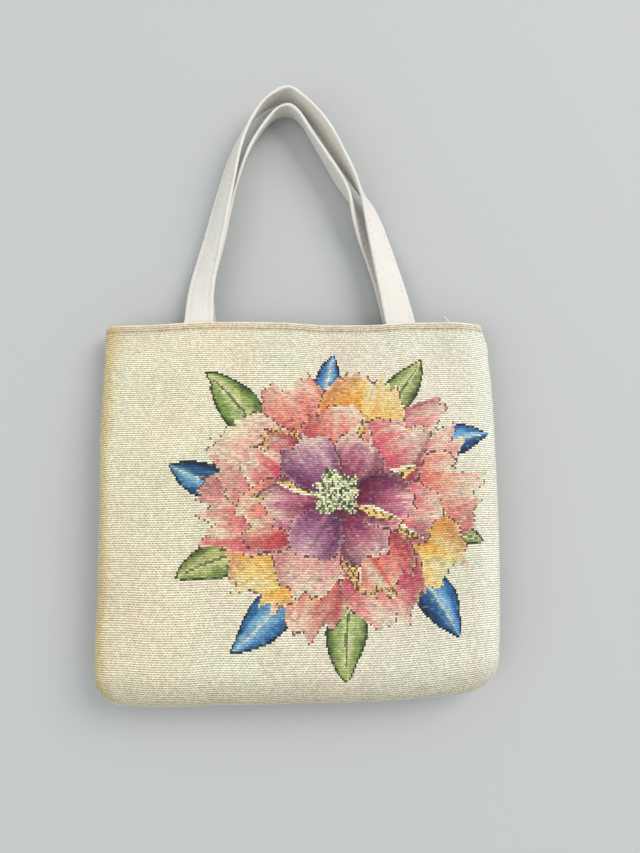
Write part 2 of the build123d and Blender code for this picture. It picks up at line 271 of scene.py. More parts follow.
def plan(xn, yn):
    """Nominal place to real place in plan: rounded bottom corners and the soft outline."""
    x, y = np.array(xn, float), np.array(yn, float)
    for sign, r0, k in ((-1, 0.85, 1.0), (1, 0.82, 0.95)):
        a, b = sign * x / W, -y / 121.0
        p, q = np.clip((a - r0) / (1 - r0), 0, 1.0), np.clip((b - r0) / (1 - r0), 0, 1.0)
        on = (p > 0) & (q > 0)
        p2 = p * np.sqrt(np.maximum(0, 1 - k * q * q / 2))
        q2 = q * np.sqrt(np.maximum(0, 1 - k * p * p / 2))
        x = np.where(on, sign * (r0 + (1 - r0) * p2) * W, x)
        y = np.where(on, -(r0 + (1 - r0) * q2) * 121.0, y)
    t = (y - YB) / (YT - YB)
    yy = smooth_table(x, BOTTOM) * (1 - t) + smooth_table(x, TOP) * t
    u = (x / W + 1) / 2
    xl, xr = smooth_table(yy, LEFT, 2.5), smooth_table(yy, RIGHT, 2.5)
    return xl + (xr - xl) * u, yy


def front_form(xn, gx, yn, gy):
    """The front panel's smooth outer face, without its ribs."""
    X, Y = np.meshgrid(xn, yn, indexing="ij")
    G = np.outer(gx, gy)
    x, y = plan(X, Y)
    base, top = seam_z(Y), crest(Y)
    z = base + (top - base) * G
    e_side = W - np.abs(X)
    soft = ramp(0.55, 0.95, G)
    z += soft * (0.75 * noise(x / 46, y / 46, 1) + 0.30 * noise(x / 21, y / 24, 2))
    # soft creases where the side rolls over
    left, right = X < 0, X >= 0
    run = ramp(-108, -80, Y)
    z -= left * run * 0.36 * bell(e_side, 12.0 + 1.6 * noise(y / 40, 0.5, 3), 4.2)
    z += left * run * 0.16 * bell(e_side, 6.0, 3.2)
    z -= right * run * 0.30 * bell(e_side, 10.0, 3.6)
    # shallow folds hanging from the rim below the handles
    hang = ramp(74, 96, Y) * ramp(119, 110, Y)
    z -= hang * (0.62 * bell(x, 53.5 + (113 - y) * 0.36, 4.2) - 0.30 * bell(x, 63.5 + (113 - y) * 0.33, 4.5))
    z -= hang * (0.45 * bell(x, -75.0 + (113 - y) * 0.05, 3.6) - 0.22 * bell(x, -66.0, 4.5))
    z -= hang * 0.30 * bell(x, -20.0 - (113 - y) * 0.08, 3.8)
    # fullness over the handle ends sewn inside the rim, and the sag between them
    for s in (-66.0, 66.0):
        z += 0.55 * ramp(13.5, 8.0, np.abs(x - s)) * ramp(92, 98, Y)
    z -= 0.8 * bell(x, 0, 38) * ramp(88, 118, Y)
    # the stitched hem: a groove, and the fold standing a little full above it
    d = YT - Y
    z -= 0.50 * bell(d, 5.2, 0.75) * (1 + 0.25 * np.sin(x / 3.1 * 2 * math.pi))
    z += 0.30 * bell(d, 2.7, 1.7)
    z -= 0.9 * ramp(1.6, 0.0, d) ** 2
    return np.stack([x, y, z], axis=2)


# ================================ the woven pattern ================================
CREAM = np.array([217, 211, 188.0])
GOLD, DARK = (214, 184, 118), (66, 58, 44)


def design_grid(x, y):
    """Where a point of the front falls on the pattern's own drawing grid (about 0.61 mm a step, y down)."""
    gx = 320 + (x - 13.9) * 640 / (387.9 + 0.1236 * y)
    gy = 507.5 - 1.6645 * y + 0.000535 * y * y
    return gx, gy


def spread(stops, s):
    at = np.array([a for a, _ in stops])
    col = np.array([c for _, c in stops], float)
    return np.stack([np.interp(s, at, col[:, k]) for k in range(3)], axis=-1)


class Weave:
    """The drawing that the loom follows: one colour for each crossing of the cloth."""

    def __init__(self, x, y):
        self.gx, self.gy = design_grid(x, y)
        self.col = np.empty(x.shape + (3,))
        self.col[:] = CREAM
        self.on = np.zeros(x.shape)             # how much of the pattern covers the ground
        self.rand = np.random.default_rng(23).uniform(0, 1, x.shape + (4,))

    def put(self, mask, colour, cover=1.0):
        m = np.clip(mask, 0, 1)[..., None]
        self.col = self.col * (1 - m) + np.asarray(colour, float) * m
        self.on = np.maximum(self.on, np.clip(mask, 0, 1) * cover)

    def shape(self, base, tip, width, bend=0.0, ruffle=0.0, seed=0, leaf=False, full=0.6):
        """Coordinates along (s) and across (t) a petal or leaf, and the distance inside its edge in steps."""
        b, e = np.array(base, float), np.array(tip, float)
        d = e - b
        length = float(np.hypot(*d))
        n = np.array([-d[1], d[0]]) / length
        c = (b + e) / 2 + n * bend * length
        px, py = self.gx - b[0], self.gy - b[1]
        s = np.clip((px * d[0] + py * d[1]) / length**2, -0.3, 1.3)
        for _ in range(3):
            ax = 2 * (1 - s) * s * (c[0] - b[0]) + s * s * d[0]
            ay = 2 * (1 - s) * s * (c[1] - b[1]) + s * s * d[1]
            tx = 2 * (1 - 2 * s) * (c[0] - b[0]) + 2 * s * d[0]
            ty = 2 * (1 - 2 * s) * (c[1] - b[1]) + 2 * s * d[1]
            s = np.clip(s + ((px - ax) * tx + (py - ay) * ty) / (tx * tx + ty * ty + 1e-6), -0.3, 1.3)
        ax = 2 * (1 - s) * s * (c[0] - b[0]) + s * s * d[0]
        ay = 2 * (1 - s) * s * (c[1] - b[1]) + s * s * d[1]
        tx = 2 * (1 - 2 * s) * (c[0] - b[0]) + 2 * s * d[0]
        ty = 2 * (1 - 2 * s) * (c[1] - b[1]) + 2 * s * d[1]
        tl = np.hypot(tx, ty) + 1e-6
        off = ((py - ay) * tx - (px - ax) * ty) / tl
        sr = s * (1 + ruffle * noise(off / 9.0, seed * 1.7, seed) + 0.5 * ruffle * noise(off / 4.0, seed * 0.3, seed + 9))
        q = np.clip(sr, 0, 1)
        if leaf:
            w = np.sin(math.pi * q**0.85) ** 0.85
        else:
            w = np.where(q < full, np.sin(math.pi / 2 * (0.06 + 0.94 * q / full)) ** 1.15,
                         np.cos(math.pi / 2 * (q - full) / (1 - full)) ** 0.5)
        w = w * (1 + 0.8 * ruffle * noise(q * 5, np.sign(off) * 2.0 + seed, seed + 4))
        half = np.maximum(width / 2 * np.nan_to_num(w), 1e-3)
        t = off / half
        inside = (np.abs(t) < 1) & (sr > 0) & (sr < 1)
        edge = np.minimum((1 - np.abs(t)) * half, (1 - sr) * length * 0.8)
        edge = np.where(leaf | (sr > 0.25), edge, (1 - np.abs(t)) * half)
        return inside, np.clip(sr, 0, 1), t, edge

    def petal(self, base, tip, width, stops, bend=0.0, ruffle=0.08, seed=0, full=0.6, rim=2.6, rim_col=(240, 228, 200),
              line=1.3, dotted=0.62, shade=0.0, speck=0.0, veins=0.10, line_col=(92, 62, 48)):
        inside, s, t, edge = self.shape(base, tip, width, bend, ruffle, seed, False, full)
        streak = veins * noise(t * 4.2, s * 1.3, seed + 20) + 0.7 * veins * noise(t * 11, s * 2.0, seed + 21)
        col = spread(stops, np.clip(s + streak, 0, 1))
        if shade:
            k = ramp(0.1, 1.0, t * np.sign(shade)) * abs(shade)
            col = col * (1 - k[..., None]) + np.array(stops[0][1], float) * k[..., None]
        pale = ramp(rim * 2.2, 0.4, edge) * (0.55 + 0.35 * noise(s * 14, t * 3, seed + 30)) * ramp(0.12, 0.45, s)
        col = col * (1 - pale[..., None]) + np.array(rim_col, float) * pale[..., None]
        if speck:
            k = (ramp(12, 5, edge) * (t * np.sign(speck) > 0) * (self.rand[..., 2] < 0.62)) * ramp(0.15, 0.4, s)
            col = col * (1 - k[..., None]) + np.array(GOLD, float) * k[..., None]
            k = (ramp(11, 6, edge) * (t * np.sign(speck) > 0) * (self.rand[..., 1] < 0.30)) * ramp(0.15, 0.4, s)
            col = col * (1 - 0.8 * k[..., None]) + np.array((88, 60, 38), float) * 0.8 * k[..., None]
        self.put(inside.astype(float), col)
        out = inside & (edge < line) & (self.rand[..., 0] < dotted) & (s > 0.12)
        self.put(out * 0.85, line_col)

    def leaf(self, base, tip, width, stops, bend=0.0, seed=0, mid=(232, 232, 205), mid_dots=0.0, line=2.3, line_col=(34, 44, 34),
             under=None, ruffle=0.05, solid=0.92, mid_w=1.3):
        inside, s, t, edge = self.shape(base, tip, width, bend, ruffle, seed, True)
        rib = 0.5 + 0.5 * np.sin((s * 9 - np.abs(t) * 2.2) * math.pi)
        col = spread(stops, np.clip(1 - np.abs(t) ** 1.3 + 0.16 * noise(t * 5, s * 5, seed + 20) + 0.10 * (rib - 0.5), 0, 1))
        if under is not None:
            k = ramp(-0.15, 0.25, t)[..., None] * 0.85
            col = col * (1 - k) + spread(under, np.clip(1 - np.abs(t) + 0.2 * noise(t * 4, s * 7, seed + 5), 0, 1)) * k
        self.put(inside.astype(float), col)
        out = inside & (edge < line) & (self.rand[..., 0] < solid)
        self.put(out * 0.9, line_col)
        m = inside & (np.abs(t * width / 2) < mid_w * 1.6) & (s > 0.05) & (s < 0.9)
        if mid_dots:
            self.put((m & (self.rand[..., 3] < 0.8)) * 0.9, line_col)
            self.put((m & (np.abs(t * width / 2) < mid_w) & (np.floor(s * width * 0.55) % 2 == 0)), mid)
        else:
            self.put((m & (np.abs(t * width / 2) < mid_w)) * 0.75, mid)

    def curl(self, base, tip, width, bend=0.0, seed=0, ground=(222, 196, 134), spots=(98, 70, 42), rim=(240, 234, 208), density=0.34, line=0.75):
        """A turned petal edge: gold ground, brown flecks, a light rim and a broken dark line."""
        inside, s, t, edge = self.shape(base, tip, width, bend, 0.05, seed, True)
        col = np.zeros(self.col.shape) + np.array(ground, float)
        col = col * (1 + 0.10 * noise(self.gx / 5, self.gy / 4, seed))[..., None]
        k = (self.rand[..., 1] < density).astype(float) * ramp(0.8, 2.4, edge)
        col = col * (1 - k[..., None]) + np.array(spots, float) * k[..., None]
        k = ((t < -0.45) & (self.rand[..., 2] < 0.9)).astype(float)
        col = col * (1 - k[..., None]) + np.array(rim, float) * k[..., None]
        self.put(inside.astype(float), col)
        self.put((inside & (edge < 1.5) & (t > 0.2) & (self.rand[..., 0] < line)) * 0.85, DARK)

    def finish(self):
        """Thread by thread unevenness: short runs of a lighter or deeper weft, stronger where the pattern's colours cross."""
        r = self.rand
        runs = []
        for k in range(3):
            q = r[..., k + 1]
            q = 0.5 * q + 0.25 * np.roll(q, 1, axis=0) + 0.25 * np.roll(q, -1, axis=0)
            runs.append(2 * q - 1)
        col = self.col * (1 + (0.020 + 0.10 * self.on) * runs[0] + 0.02 * (2 * r[..., 0] - 1))[..., None]
        pale = self.on * ramp(0.25, 0.75, runs[1]) * 0.30
        col = col * (1 - pale[..., None]) + np.array([232, 220, 196]) * pale[..., None]
        deep = self.on * ramp(0.20, 0.75, runs[2]) * 0.42
        col = col * (1 - deep[..., None]) + col * np.array([0.62, 0.60, 0.66]) * deep[..., None]
        hue = np.stack([r[..., 1], r[..., 2], r[..., 3]], axis=-1) - 0.5
        col = col + hue * (3.0 + 9.0 * self.on)[..., None]
        mean = col.mean(axis=-1, keepdims=True)
        deeper = (mean + (col - mean) * 1.10) * np.array([0.91, 0.91, 0.90])          # the coloured wefts take up more light than the ground
        on = self.on[..., None]
        return np.clip(col * (1 - on) + deeper * on, 4, 250)


def draw_bouquet(w):
    """A plain full-blown flower: rings of petals set round a heart by rule, with leaves spread behind them."""
    rule = np.random.default_rng(4)
    cx, cy = 338.0, 500.0
    rose = [(0, (128, 34, 56)), (0.30, (178, 66, 86)), (0.52, (206, 104, 114)), (0.72, (222, 148, 144)), (0.88, (232, 192, 176)), (1, (232, 212, 190))]
    coral = [(0, (150, 44, 60)), (0.28, (196, 84, 88)), (0.50, (218, 120, 110)), (0.72, (230, 158, 140)), (0.90, (234, 194, 172)), (1, (232, 210, 186))]
    blush = [(0, (186, 86, 100)), (0.30, (214, 132, 134)), (0.60, (228, 172, 162)), (0.85, (234, 202, 184)), (1, (232, 214, 192))]
    gold = [(0, (182, 78, 46)), (0.25, (214, 122, 62)), (0.48, (230, 160, 82)), (0.68, (236, 190, 108)), (0.86, (236, 210, 146)), (1, (232, 218, 180))]
    mauve = [(0, (84, 28, 50)), (0.30, (136, 60, 86)), (0.52, (168, 96, 118)), (0.72, (196, 134, 146)), (0.90, (216, 172, 170)), (1, (232, 206, 188))]
    plum = [(0, (66, 22, 44)), (0.35, (112, 44, 72)), (0.62, (158, 84, 112)), (0.85, (204, 138, 150)), (1, (230, 194, 182))]
    lilac = [(0, (88, 40, 76)), (0.35, (142, 86, 120)), (0.62, (176, 126, 150)), (0.86, (204, 164, 174)), (1, (226, 200, 192))]
    green = [(0, (62, 80, 44)), (0.30, (112, 134, 74)), (0.62, (160, 176, 112)), (1, (206, 210, 158))]
    olive = [(0, (84, 92, 56)), (0.40, (146, 154, 96)), (0.75, (190, 194, 134)), (1, (216, 214, 168))]
    blue = [(0, (26, 50, 84)), (0.30, (46, 96, 150)), (0.62, (84, 142, 188)), (1, (156, 192, 214))]
    navy = [(0, (20, 30, 50)), (0.5, (36, 74, 122)), (1, (92, 146, 186))]

    def spot(angle, r):
        a = math.radians(angle)
        return cx + r * math.cos(a), cy + r * 0.96 * math.sin(a)

    # leaves, one behind each gap between two outer petals, green and blue in turn; angles from the right and downwards
    slight = np.random.default_rng(9)
    for k in range(10):
        a = 10 + 36 * k + slight.uniform(-4, 4)
        c, d = math.cos(math.radians(a)), math.sin(math.radians(a))
        reach = min(186 + slight.uniform(-8, 8), 150 / max(0.3, c), 156 / max(0.3, -d))
        tone, under = ((green, olive), (blue, navy))[k % 2]
        w.leaf(spot(a - 3, 96), spot(a + 3, reach), 0.44 * (reach - 96), tone, 0.10 * (-1) ** k, 70 + k, mid=((76, 90, 54), (222, 224, 200))[k % 2],
               mid_dots=0.0, line=2.3, line_col=((48, 58, 38), (26, 34, 48))[k % 2], under=under if k % 4 < 2 else None, solid=0.84, mid_w=1.4)

    # outer ring
    tones = [coral, gold, rose, coral, gold, rose, blush, coral, gold, rose]
    order = [3, 9, 4, 0, 7, 5, 1, 2, 6, 8]
    for i in order:
        a = -8 + 36 * i + rule.uniform(-5, 5)
        r = 140 + rule.uniform(-3, 3)
        w.petal(spot(a, 22), spot(a + rule.uniform(-3, 3), r), 90 + rule.uniform(-4, 8), tones[i], bend=rule.uniform(-0.05, 0.05), ruffle=0.12,
                seed=100 + i, full=0.66, rim=3.6, rim_col=(232, 220, 192), dotted=0.66, line=1.7, shade=rule.choice([-0.45, 0.45]), veins=0.16)
    # middle ring, with some edges turned over to their gold reverse
    tones = [rose, coral, blush, coral, rose, coral, rose]
    for i in (0, 2, 4, 6, 1, 3, 5):
        a = 10 + 360 / 7 * i + rule.uniform(-4, 4)
        w.petal(spot(a, 10), spot(a, 106 + rule.uniform(-6, 6)), 72 + rule.uniform(-4, 6), tones[i], bend=rule.uniform(-0.06, 0.06), ruffle=0.11,
                seed=120 + i, full=0.66, rim=3.0, rim_col=(234, 216, 192), dotted=0.74, line=1.7, shade=(-1) ** i * 0.62, veins=0.17, speck=(1 if i in (1, 4) else 0))
        if i in (0, 1, 3, 5, 6):
            w.curl(spot(a + 12, 34), spot(a + 17, 92), 15, 0.10, 130 + i, ground=(216, 184, 124), density=0.36)
    # inner ring
    tones = [mauve, plum, mauve, lilac, mauve, lilac]
    for i in (0, 2, 4, 1, 3, 5):
        a = -62 + 60 * i + rule.uniform(-5, 5)
        w.petal(spot(a, 2), spot(a, 74 + rule.uniform(-4, 6)), 60 + rule.uniform(-3, 5), tones[i], bend=rule.uniform(-0.05, 0.05), ruffle=0.10,
                seed=140 + i, full=0.66, rim=2.4, rim_col=(228, 204, 190), dotted=0.70, line=1.6, shade=(-1) ** i * 0.62, veins=0.18, line_col=(84, 48, 52))
        if i in (1, 4):
            w.curl(spot(a + 16, 20), spot(a + 20, 66), 12, 0.08, 150 + i, ground=(222, 192, 126), density=0.28)
    # the heart: short filaments round a green eye
    hx, hy = cx - 2, cy - 8
    dx, dy = w.gx - hx, (w.gy - hy) * 1.05
    rad, ang = np.hypot(dx, dy), np.arctan2(dy, dx)
    reach = 25 + 6 * noise(ang * 3.2, 0.5, 61)
    near = np.clip((reach - rad) / 8, 0, 1)
    m = near > w.rand[..., 0] * 0.85
    pick = 0.6 * w.rand[..., 1] + 0.4 * (0.5 + 0.5 * noise(ang * 7, rad / 7, 62))
    col = spread([(0, (44, 48, 40)), (0.30, (84, 98, 66)), (0.42, (150, 160, 116)), (0.55, (214, 214, 178)), (0.8, (236, 232, 204)), (1, (214, 186, 120))], pick)
    w.put(m.astype(float), col)


# ================================ materials ================================
def new_material(name):
    m = bpy.data.materials.new(name)
    m.use_nodes = True
    nt = m.node_tree
    nt.nodes.clear()
    out = nt.nodes.new("ShaderNodeOutputMaterial")
    b = nt.nodes.new("ShaderNodeBsdfPrincipled")
    nt.links.new(b.outputs["BSDF"], out.inputs["Surface"])
    return m, nt, b


def node(nt, kind, **inputs):
    n = nt.nodes.new(kind)
    for k, v in inputs.items():
        if k in n.inputs:
            n.inputs[k].default_value = v
        else:
            setattr(n, k, v)
    return n


def math_node(nt, op, a, b=None, c=None):
    n = nt.nodes.new("ShaderNodeMath")
    n.operation = op
    for i, v in enumerate((a, b, c)):
        if v is None:
            continue
        if isinstance(v, (int, float)):
            n.inputs[i].default_value = v
        else:
            nt.links.new(v, n.inputs[i])
    return n.outputs[0]


def mix_colour(nt, fac, a, b, mode="MIX"):
    n = nt.nodes.new("ShaderNodeMix")
    n.data_type = "RGBA"
    n.blend_type = mode
    for sock, v in ((n.inputs[0], fac), (n.inputs[6], a), (n.inputs[7], b)):
        if hasattr(v, "links"):
            nt.links.new(v, sock)
        elif isinstance(v, (int, float)):
            sock.default_value = v
        else:
            sock.default_value = (*v, 1.0)
    return n.outputs[2]


def cloth_coords(nt):
    """Coordinates along the cloth in mm: across (x) and up (y)."""
    a = node(nt, "ShaderNodeAttribute", attribute_name="fabric")
    s = nt.nodes.new("ShaderNodeSeparateXYZ")
    nt.links.new(a.outputs["Vector"], s.inputs[0])
    return a.outputs["Vector"], s.outputs[0], s.outputs[1]


def mapped_noise(nt, vec, scale, detail=2.0, rough=0.5):
    n = node(nt, "ShaderNodeTexNoise", Scale=1.0, Detail=detail, Roughness=rough)
    m = nt.nodes.new("ShaderNodeMapping")
    m.inputs["Scale"].default_value = scale
    nt.links.new(vec, m.inputs["Vector"])
    nt.links.new(m.outputs[0], n.inputs["Vector"])
    return n.outputs["Fac"]


def wave(nt, coord, period, phase=0.0):
    """0 to 1 sine of a coordinate in mm."""
    a = math_node(nt, "MULTIPLY_ADD", coord, 2 * math.pi / period, phase)
    s = math_node(nt, "SINE", a)
    return math_node(nt, "MULTIPLY_ADD", s, 0.5, 0.5)


def bump(nt, b, height, distance, strength=1.0):
    n = node(nt, "ShaderNodeBump", Strength=strength, Distance=distance)
    nt.links.new(height, n.inputs["Height"])
    nt.links.new(n.outputs[0], b.inputs["Normal"])
    return n


def tapestry_material(name, attribute=True, tone=(214, 206, 181)):
    m, nt, b = new_material(name)
    vec, u, v = cloth_coords(nt)
    if attribute:
        base = node(nt, "ShaderNodeAttribute", attribute_name="thread").outputs["Color"]
    else:
        # plain ground: ribs of weft with painted shade in the gaps between them, broken into dashes
        rib = wave(nt, v, 1.45, -math.pi / 2)
        dash = mapped_noise(nt, vec, (0.55, 1.4, 1.0), 1.0)
        gap = math_node(nt, "MULTIPLY", math_node(nt, "POWER", math_node(nt, "SUBTRACT", 1.0, rib), 2.5), math_node(nt, "MULTIPLY_ADD", dash, 1.3, -0.1))
        base = mix_colour(nt, math_node(nt, "MULTIPLY", gap, 0.62), lin(*tone), lin(146, 132, 100))
    cloud = mapped_noise(nt, vec, (0.035, 0.05, 1.0), 3.0)
    tint = mix_colour(nt, cloud, (0.945, 0.99, 0.935), (1.02, 0.98, 0.96))
    base = mix_colour(nt, 1.0, base, tint, "MULTIPLY")
    fuzz = mapped_noise(nt, vec, (1.9, 4.6, 1.0), 2.0)
    base = mix_colour(nt, math_node(nt, "MULTIPLY", fuzz, 0.08), base, (0.42, 0.36, 0.24), "MULTIPLY")
    nt.links.new(base, b.inputs["Base Color"])
    b.inputs["Roughness"].default_value = 0.88
    b.inputs["Sheen Weight"].default_value = 0.18
    b.inputs["Sheen Roughness"].default_value = 0.55
    b.inputs["Specular IOR Level"].default_value = 0.25
    # twist of the weft thread: fine slanted turns along each rib
    slant = math_node(nt, "MULTIPLY_ADD", v, 0.8, u)
    turn = wave(nt, slant, 0.72)
    loose = mapped_noise(nt, vec, (2.6, 3.4, 1.0), 3.0)
    h = math_node(nt, "ADD", math_node(nt, "MULTIPLY", turn, 0.45), math_node(nt, "MULTIPLY", loose, 0.9))
    if not attribute:
        h = math_node(nt, "ADD", h, math_node(nt, "MULTIPLY", wave(nt, v, 1.45, -math.pi / 2), 0.8))
    bump(nt, b, h, 0.00018, 0.55)
    return m


def cotton_material(name, tone, warm, period=0.62, rough=0.8, weave_mm=0.00010, dirt=0.10):
    """Plain-woven cotton: fine over-and-under threads, soft colour change and a trace of handling."""
    m, nt, b = new_material(name)
    vec, u, v = cloth_coords(nt)
    a, c = wave(nt, u, period), wave(nt, v, period * 0.9)
    check = math_node(nt, "ABSOLUTE", math_node(nt, "SUBTRACT", a, c))
    slub = mapped_noise(nt, vec, (0.30, 2.4, 1.0), 3.0)
    cloud = mapped_noise(nt, vec, (0.05, 0.045, 1.0), 3.0)
    base = mix_colour(nt, math_node(nt, "MULTIPLY", cloud, 0.9), lin(*tone), lin(*warm))
    base = mix_colour(nt, math_node(nt, "MULTIPLY", slub, dirt), base, lin(176, 166, 146))
    base = mix_colour(nt, math_node(nt, "MULTIPLY", check, 0.10), base, lin(150, 142, 124))
    nt.links.new(base, b.inputs["Base Color"])
    b.inputs["Roughness"].default_value = rough
    b.inputs["Sheen Weight"].default_value = 0.22
    b.inputs["Sheen Roughness"].default_value = 0.45
    b.inputs["Specular IOR Level"].default_value = 0.3
    h = math_node(nt, "ADD", check, math_node(nt, "MULTIPLY", slub, 1.2))
    bump(nt, b, h, weave_mm, 0.6)
    return m


def thread_material(name, tone):
    m, nt, b = new_material(name)
    geo = nt.nodes.new("ShaderNodeNewGeometry")
    n = mapped_noise(nt, geo.outputs["Position"], (900, 900, 900), 2.0)
    base = mix_colour(nt, n, lin(*tone), lin(*[c * 0.86 for c in tone]))
    nt.links.new(base, b.inputs["Base Color"])
    b.inputs["Roughness"].default_value = 0.6
    b.inputs["Sheen Weight"].default_value = 0.15
    w = node(nt, "ShaderNodeTexWave", Scale=520.0, Distortion=1.5)
    nt.links.new(geo.outputs["Position"], w.inputs["Vector"])
    bump(nt, b, w.outputs["Fac"], 0.00008, 0.5)
    return m


def felt_material(name, tone):
    m, nt, b = new_material(name)
    geo = nt.nodes.new("ShaderNodeNewGeometry")
    n = mapped_noise(nt, geo.outputs["Position"], (700, 700, 900), 5.0, 0.7)
    big = mapped_noise(nt, geo.outputs["Position"], (40, 40, 40), 2.0)
    base = mix_colour(nt, n, lin(*tone), lin(*[c * 0.88 for c in tone]))
    base = mix_colour(nt, math_node(nt, "MULTIPLY", big, 0.3), base, lin(208, 200, 184))
    nt.links.new(base, b.inputs["Base Color"])
    b.inputs["Roughness"].default_value = 0.95
    b.inputs["Sheen Weight"].default_value = 0.4
    b.inputs["Sheen Roughness"].default_value = 0.7
    bump(nt, b, n, 0.0003, 0.6)
    return m


def paint(o, material):
    o.data.materials.clear()
    o.data.materials.append(material)
    return o


MAT_FRONT = tapestry_material("tapestry_flowered")
MAT_PLAIN = tapestry_material("tapestry_plain", attribute=False)
MAT_STRAP = cotton_material("strap_cotton", (216, 216, 210), (211, 203, 191), 0.55, 0.78, 0.00009, 0.12)
MAT_LINING = cotton_material("lining_cotton", (214, 204, 180), (204, 192, 166), 0.70, 0.85, 0.00010, 0.20)
MAT_THREAD = thread_material("thread_white", (236, 232, 220))
MAT_HEMTHREAD = thread_material("thread_cream", (212, 204, 172))
MAT_FELT = felt_material("wadding", (232, 230, 222))

# ================================ settling and hems ================================
def settle(g, step_u, step_v, cap=1.1):
    """Lets a coarse copy of a panel settle as cloth over its filling, held along its seams and hem, and gives the fine grid its movement."""
    iu = np.unique(np.append(np.arange(0, g.shape[0], step_u), g.shape[0] - 1))
    iv = np.unique(np.append(np.arange(0, g.shape[1], step_v), g.shape[1] - 1))
    coarse = g[np.ix_(iu, iv)]
    nu, nv = len(iu), len(iv)
    o = mesh_from("settling", coarse.reshape(-1, 3), grid_quads(nu, nv))
    held = o.vertex_groups.new(name="held")
    for i in range(nu):
        for j in range(nv):
            d = min(i, nu - 1 - i, j + 1)
            hem = nv - 1 - j
            wgt = 1.0 if d <= 1 or hem <= 1 else (0.35 if hem <= 3 else 0.0)
            if wgt:
                held.add([i * nv + j], wgt, "REPLACE")
    m = o.modifiers.new("Cloth", "CLOTH")
    c = m.settings
    c.quality, c.mass, c.air_damping = 6, 0.25, 2.0
    c.tension_stiffness = c.compression_stiffness = 12
    c.shear_stiffness, c.bending_stiffness = 6, 0.9
    c.use_pressure, c.uniform_pressure_force = True, 2.2
    c.vertex_group_mass = "held"
    c.pin_stiffness = 1.0
    c.shrink_min = -0.006
    m.collision_settings.use_self_collision = False
    scene = bpy.context.scene
    scene.frame_start, scene.frame_end = 1, 26
    m.point_cache.frame_start, m.point_cache.frame_end = 1, 26
    for f in range(1, 27):
        scene.frame_set(f)
    ev = o.evaluated_get(bpy.context.evaluated_depsgraph_get())
    co = np.empty(nu * nv * 3, np.float32)
    ev.data.vertices.foreach_get("co", co)
    moved = co.reshape(nu, nv, 3).astype(float) / MM - coarse
    scene.frame_set(1)
    bpy.data.objects.remove(o)
    size = np.linalg.norm(moved, axis=2, keepdims=True)
    moved = moved * (cap * np.tanh(size / cap) / np.maximum(size, 1e-9))
    full_u = np.stack([np.stack([np.interp(np.arange(g.shape[0]), iu, moved[:, j, k]) for j in range(nv)], axis=1) for k in range(3)], axis=2)
    full = np.stack([np.stack([np.interp(np.arange(g.shape[1]), iv, full_u[i, :, k]) for i in range(g.shape[0])], axis=0) for k in range(3)], axis=2)
    for _ in range(2 * step_v):
        full[:, 1:-1] = 0.5 * full[:, 1:-1] + 0.25 * (full[:, 2:] + full[:, :-2])
        full[1:-1] = 0.5 * full[1:-1] + 0.25 * (full[2:] + full[:-2])
    return full


TURN = (25, 55, 90, 125, 155, 180)


def turn_over(base, nor, radius, rows_back, gap=0.1):
    """Rows that carry a panel's top edge over a small fold and down inside: (rows, distances along the cloth)."""
    last, n = base[:, -1], nor[:, -1]
    up = unit(base[:, -1] - base[:, -3])
    rows = [last + up * radius * math.sin(math.radians(a)) - n * radius * (1 - math.cos(math.radians(a))) for a in TURN]
    rows += [base[:, -1 - r] - nor[:, -1 - r] * (2 * radius + gap) for r in rows_back]
    return np.stack(rows, axis=1)


def lengths(g):
    """Distances along a grid of cloth, as the cloth's own flat coordinates."""
    mid_v, mid_u = g.shape[1] // 2, g.shape[0] // 2
    u = np.concatenate([[0], np.cumsum(np.linalg.norm(np.diff(g[:, mid_v], axis=0), axis=1))])
    v = np.concatenate([[0], np.cumsum(np.linalg.norm(np.diff(g[mid_u], axis=0), axis=1))])
    U, V = np.meshgrid(u, v, indexing="ij")
    return np.stack([U, V, np.zeros_like(U)], axis=2)


def resting(o, body, slot, *nodes):
    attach(o, body)
    if nodes:
        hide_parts(*nodes)
    return o


# ================================ front panel ================================
COLS, RIBS = 252, 181
xn, gx = lines_across(COLS)
yn, gy, fabric_up = lines_up(2 * RIBS + 1)
form = front_form(xn, gx, yn, gy)
form = form + settle(form, 5, 6)
normal = grid_normals(form)
NX, NY = form.shape[:2]
rib = np.where(np.arange(NY) % 2 == 1, 0.17, -0.17)
uneven = 1 + 0.25 * noise(form[..., 0] / 9, form[..., 1] / 1.3, 8)
cloth = form + normal * (rib[None, :] * uneven)[..., None] + np.array([0, 1, 0.0]) * (0.10 * noise(form[..., 0] / 13, form[..., 1] / 6, 9))[..., None]

# the rim: the cloth turns over a small fold and runs down inside as the hem
R = 1.05
turned = turn_over(form, normal, R, [6, 14, 24, 34])
cloth_all = np.concatenate([cloth, turned], axis=1)

cells_x = (form[:-1, :-1, 0] + form[1:, 1:, 0]) / 2
cells_y = (form[:-1, :-1, 1] + form[1:, 1:, 1]) / 2
weave = Weave(cells_x[:, 0::2] * 0.5 + cells_x[:, 1::2] * 0.5, cells_y[:, 0::2] * 0.5 + cells_y[:, 1::2] * 0.5)
draw_bouquet(weave)
cell = weave.finish()                                     # (NX-1, RIBS, 3)
inset = np.minimum(W - np.abs((xn[:-1] + xn[1:]) / 2)[:, None], 60.0) * np.ones((1, RIBS))
yc = ((yn[:-1] + yn[1:]) / 2)[0::2][None, :] * np.ones((NX - 1, 1))
xc = ((xn[:-1] + xn[1:]) / 2)[:, None] * np.ones((1, RIBS))
left_shade_and_yellowing = ramp(14.5, 1.0, inset + 2.2 * noise(yc / 17, xc / 40, 61)) * (xc < 0)           # the left side band: painted shade where it rolls away from the light, with some yellowing of the cloth
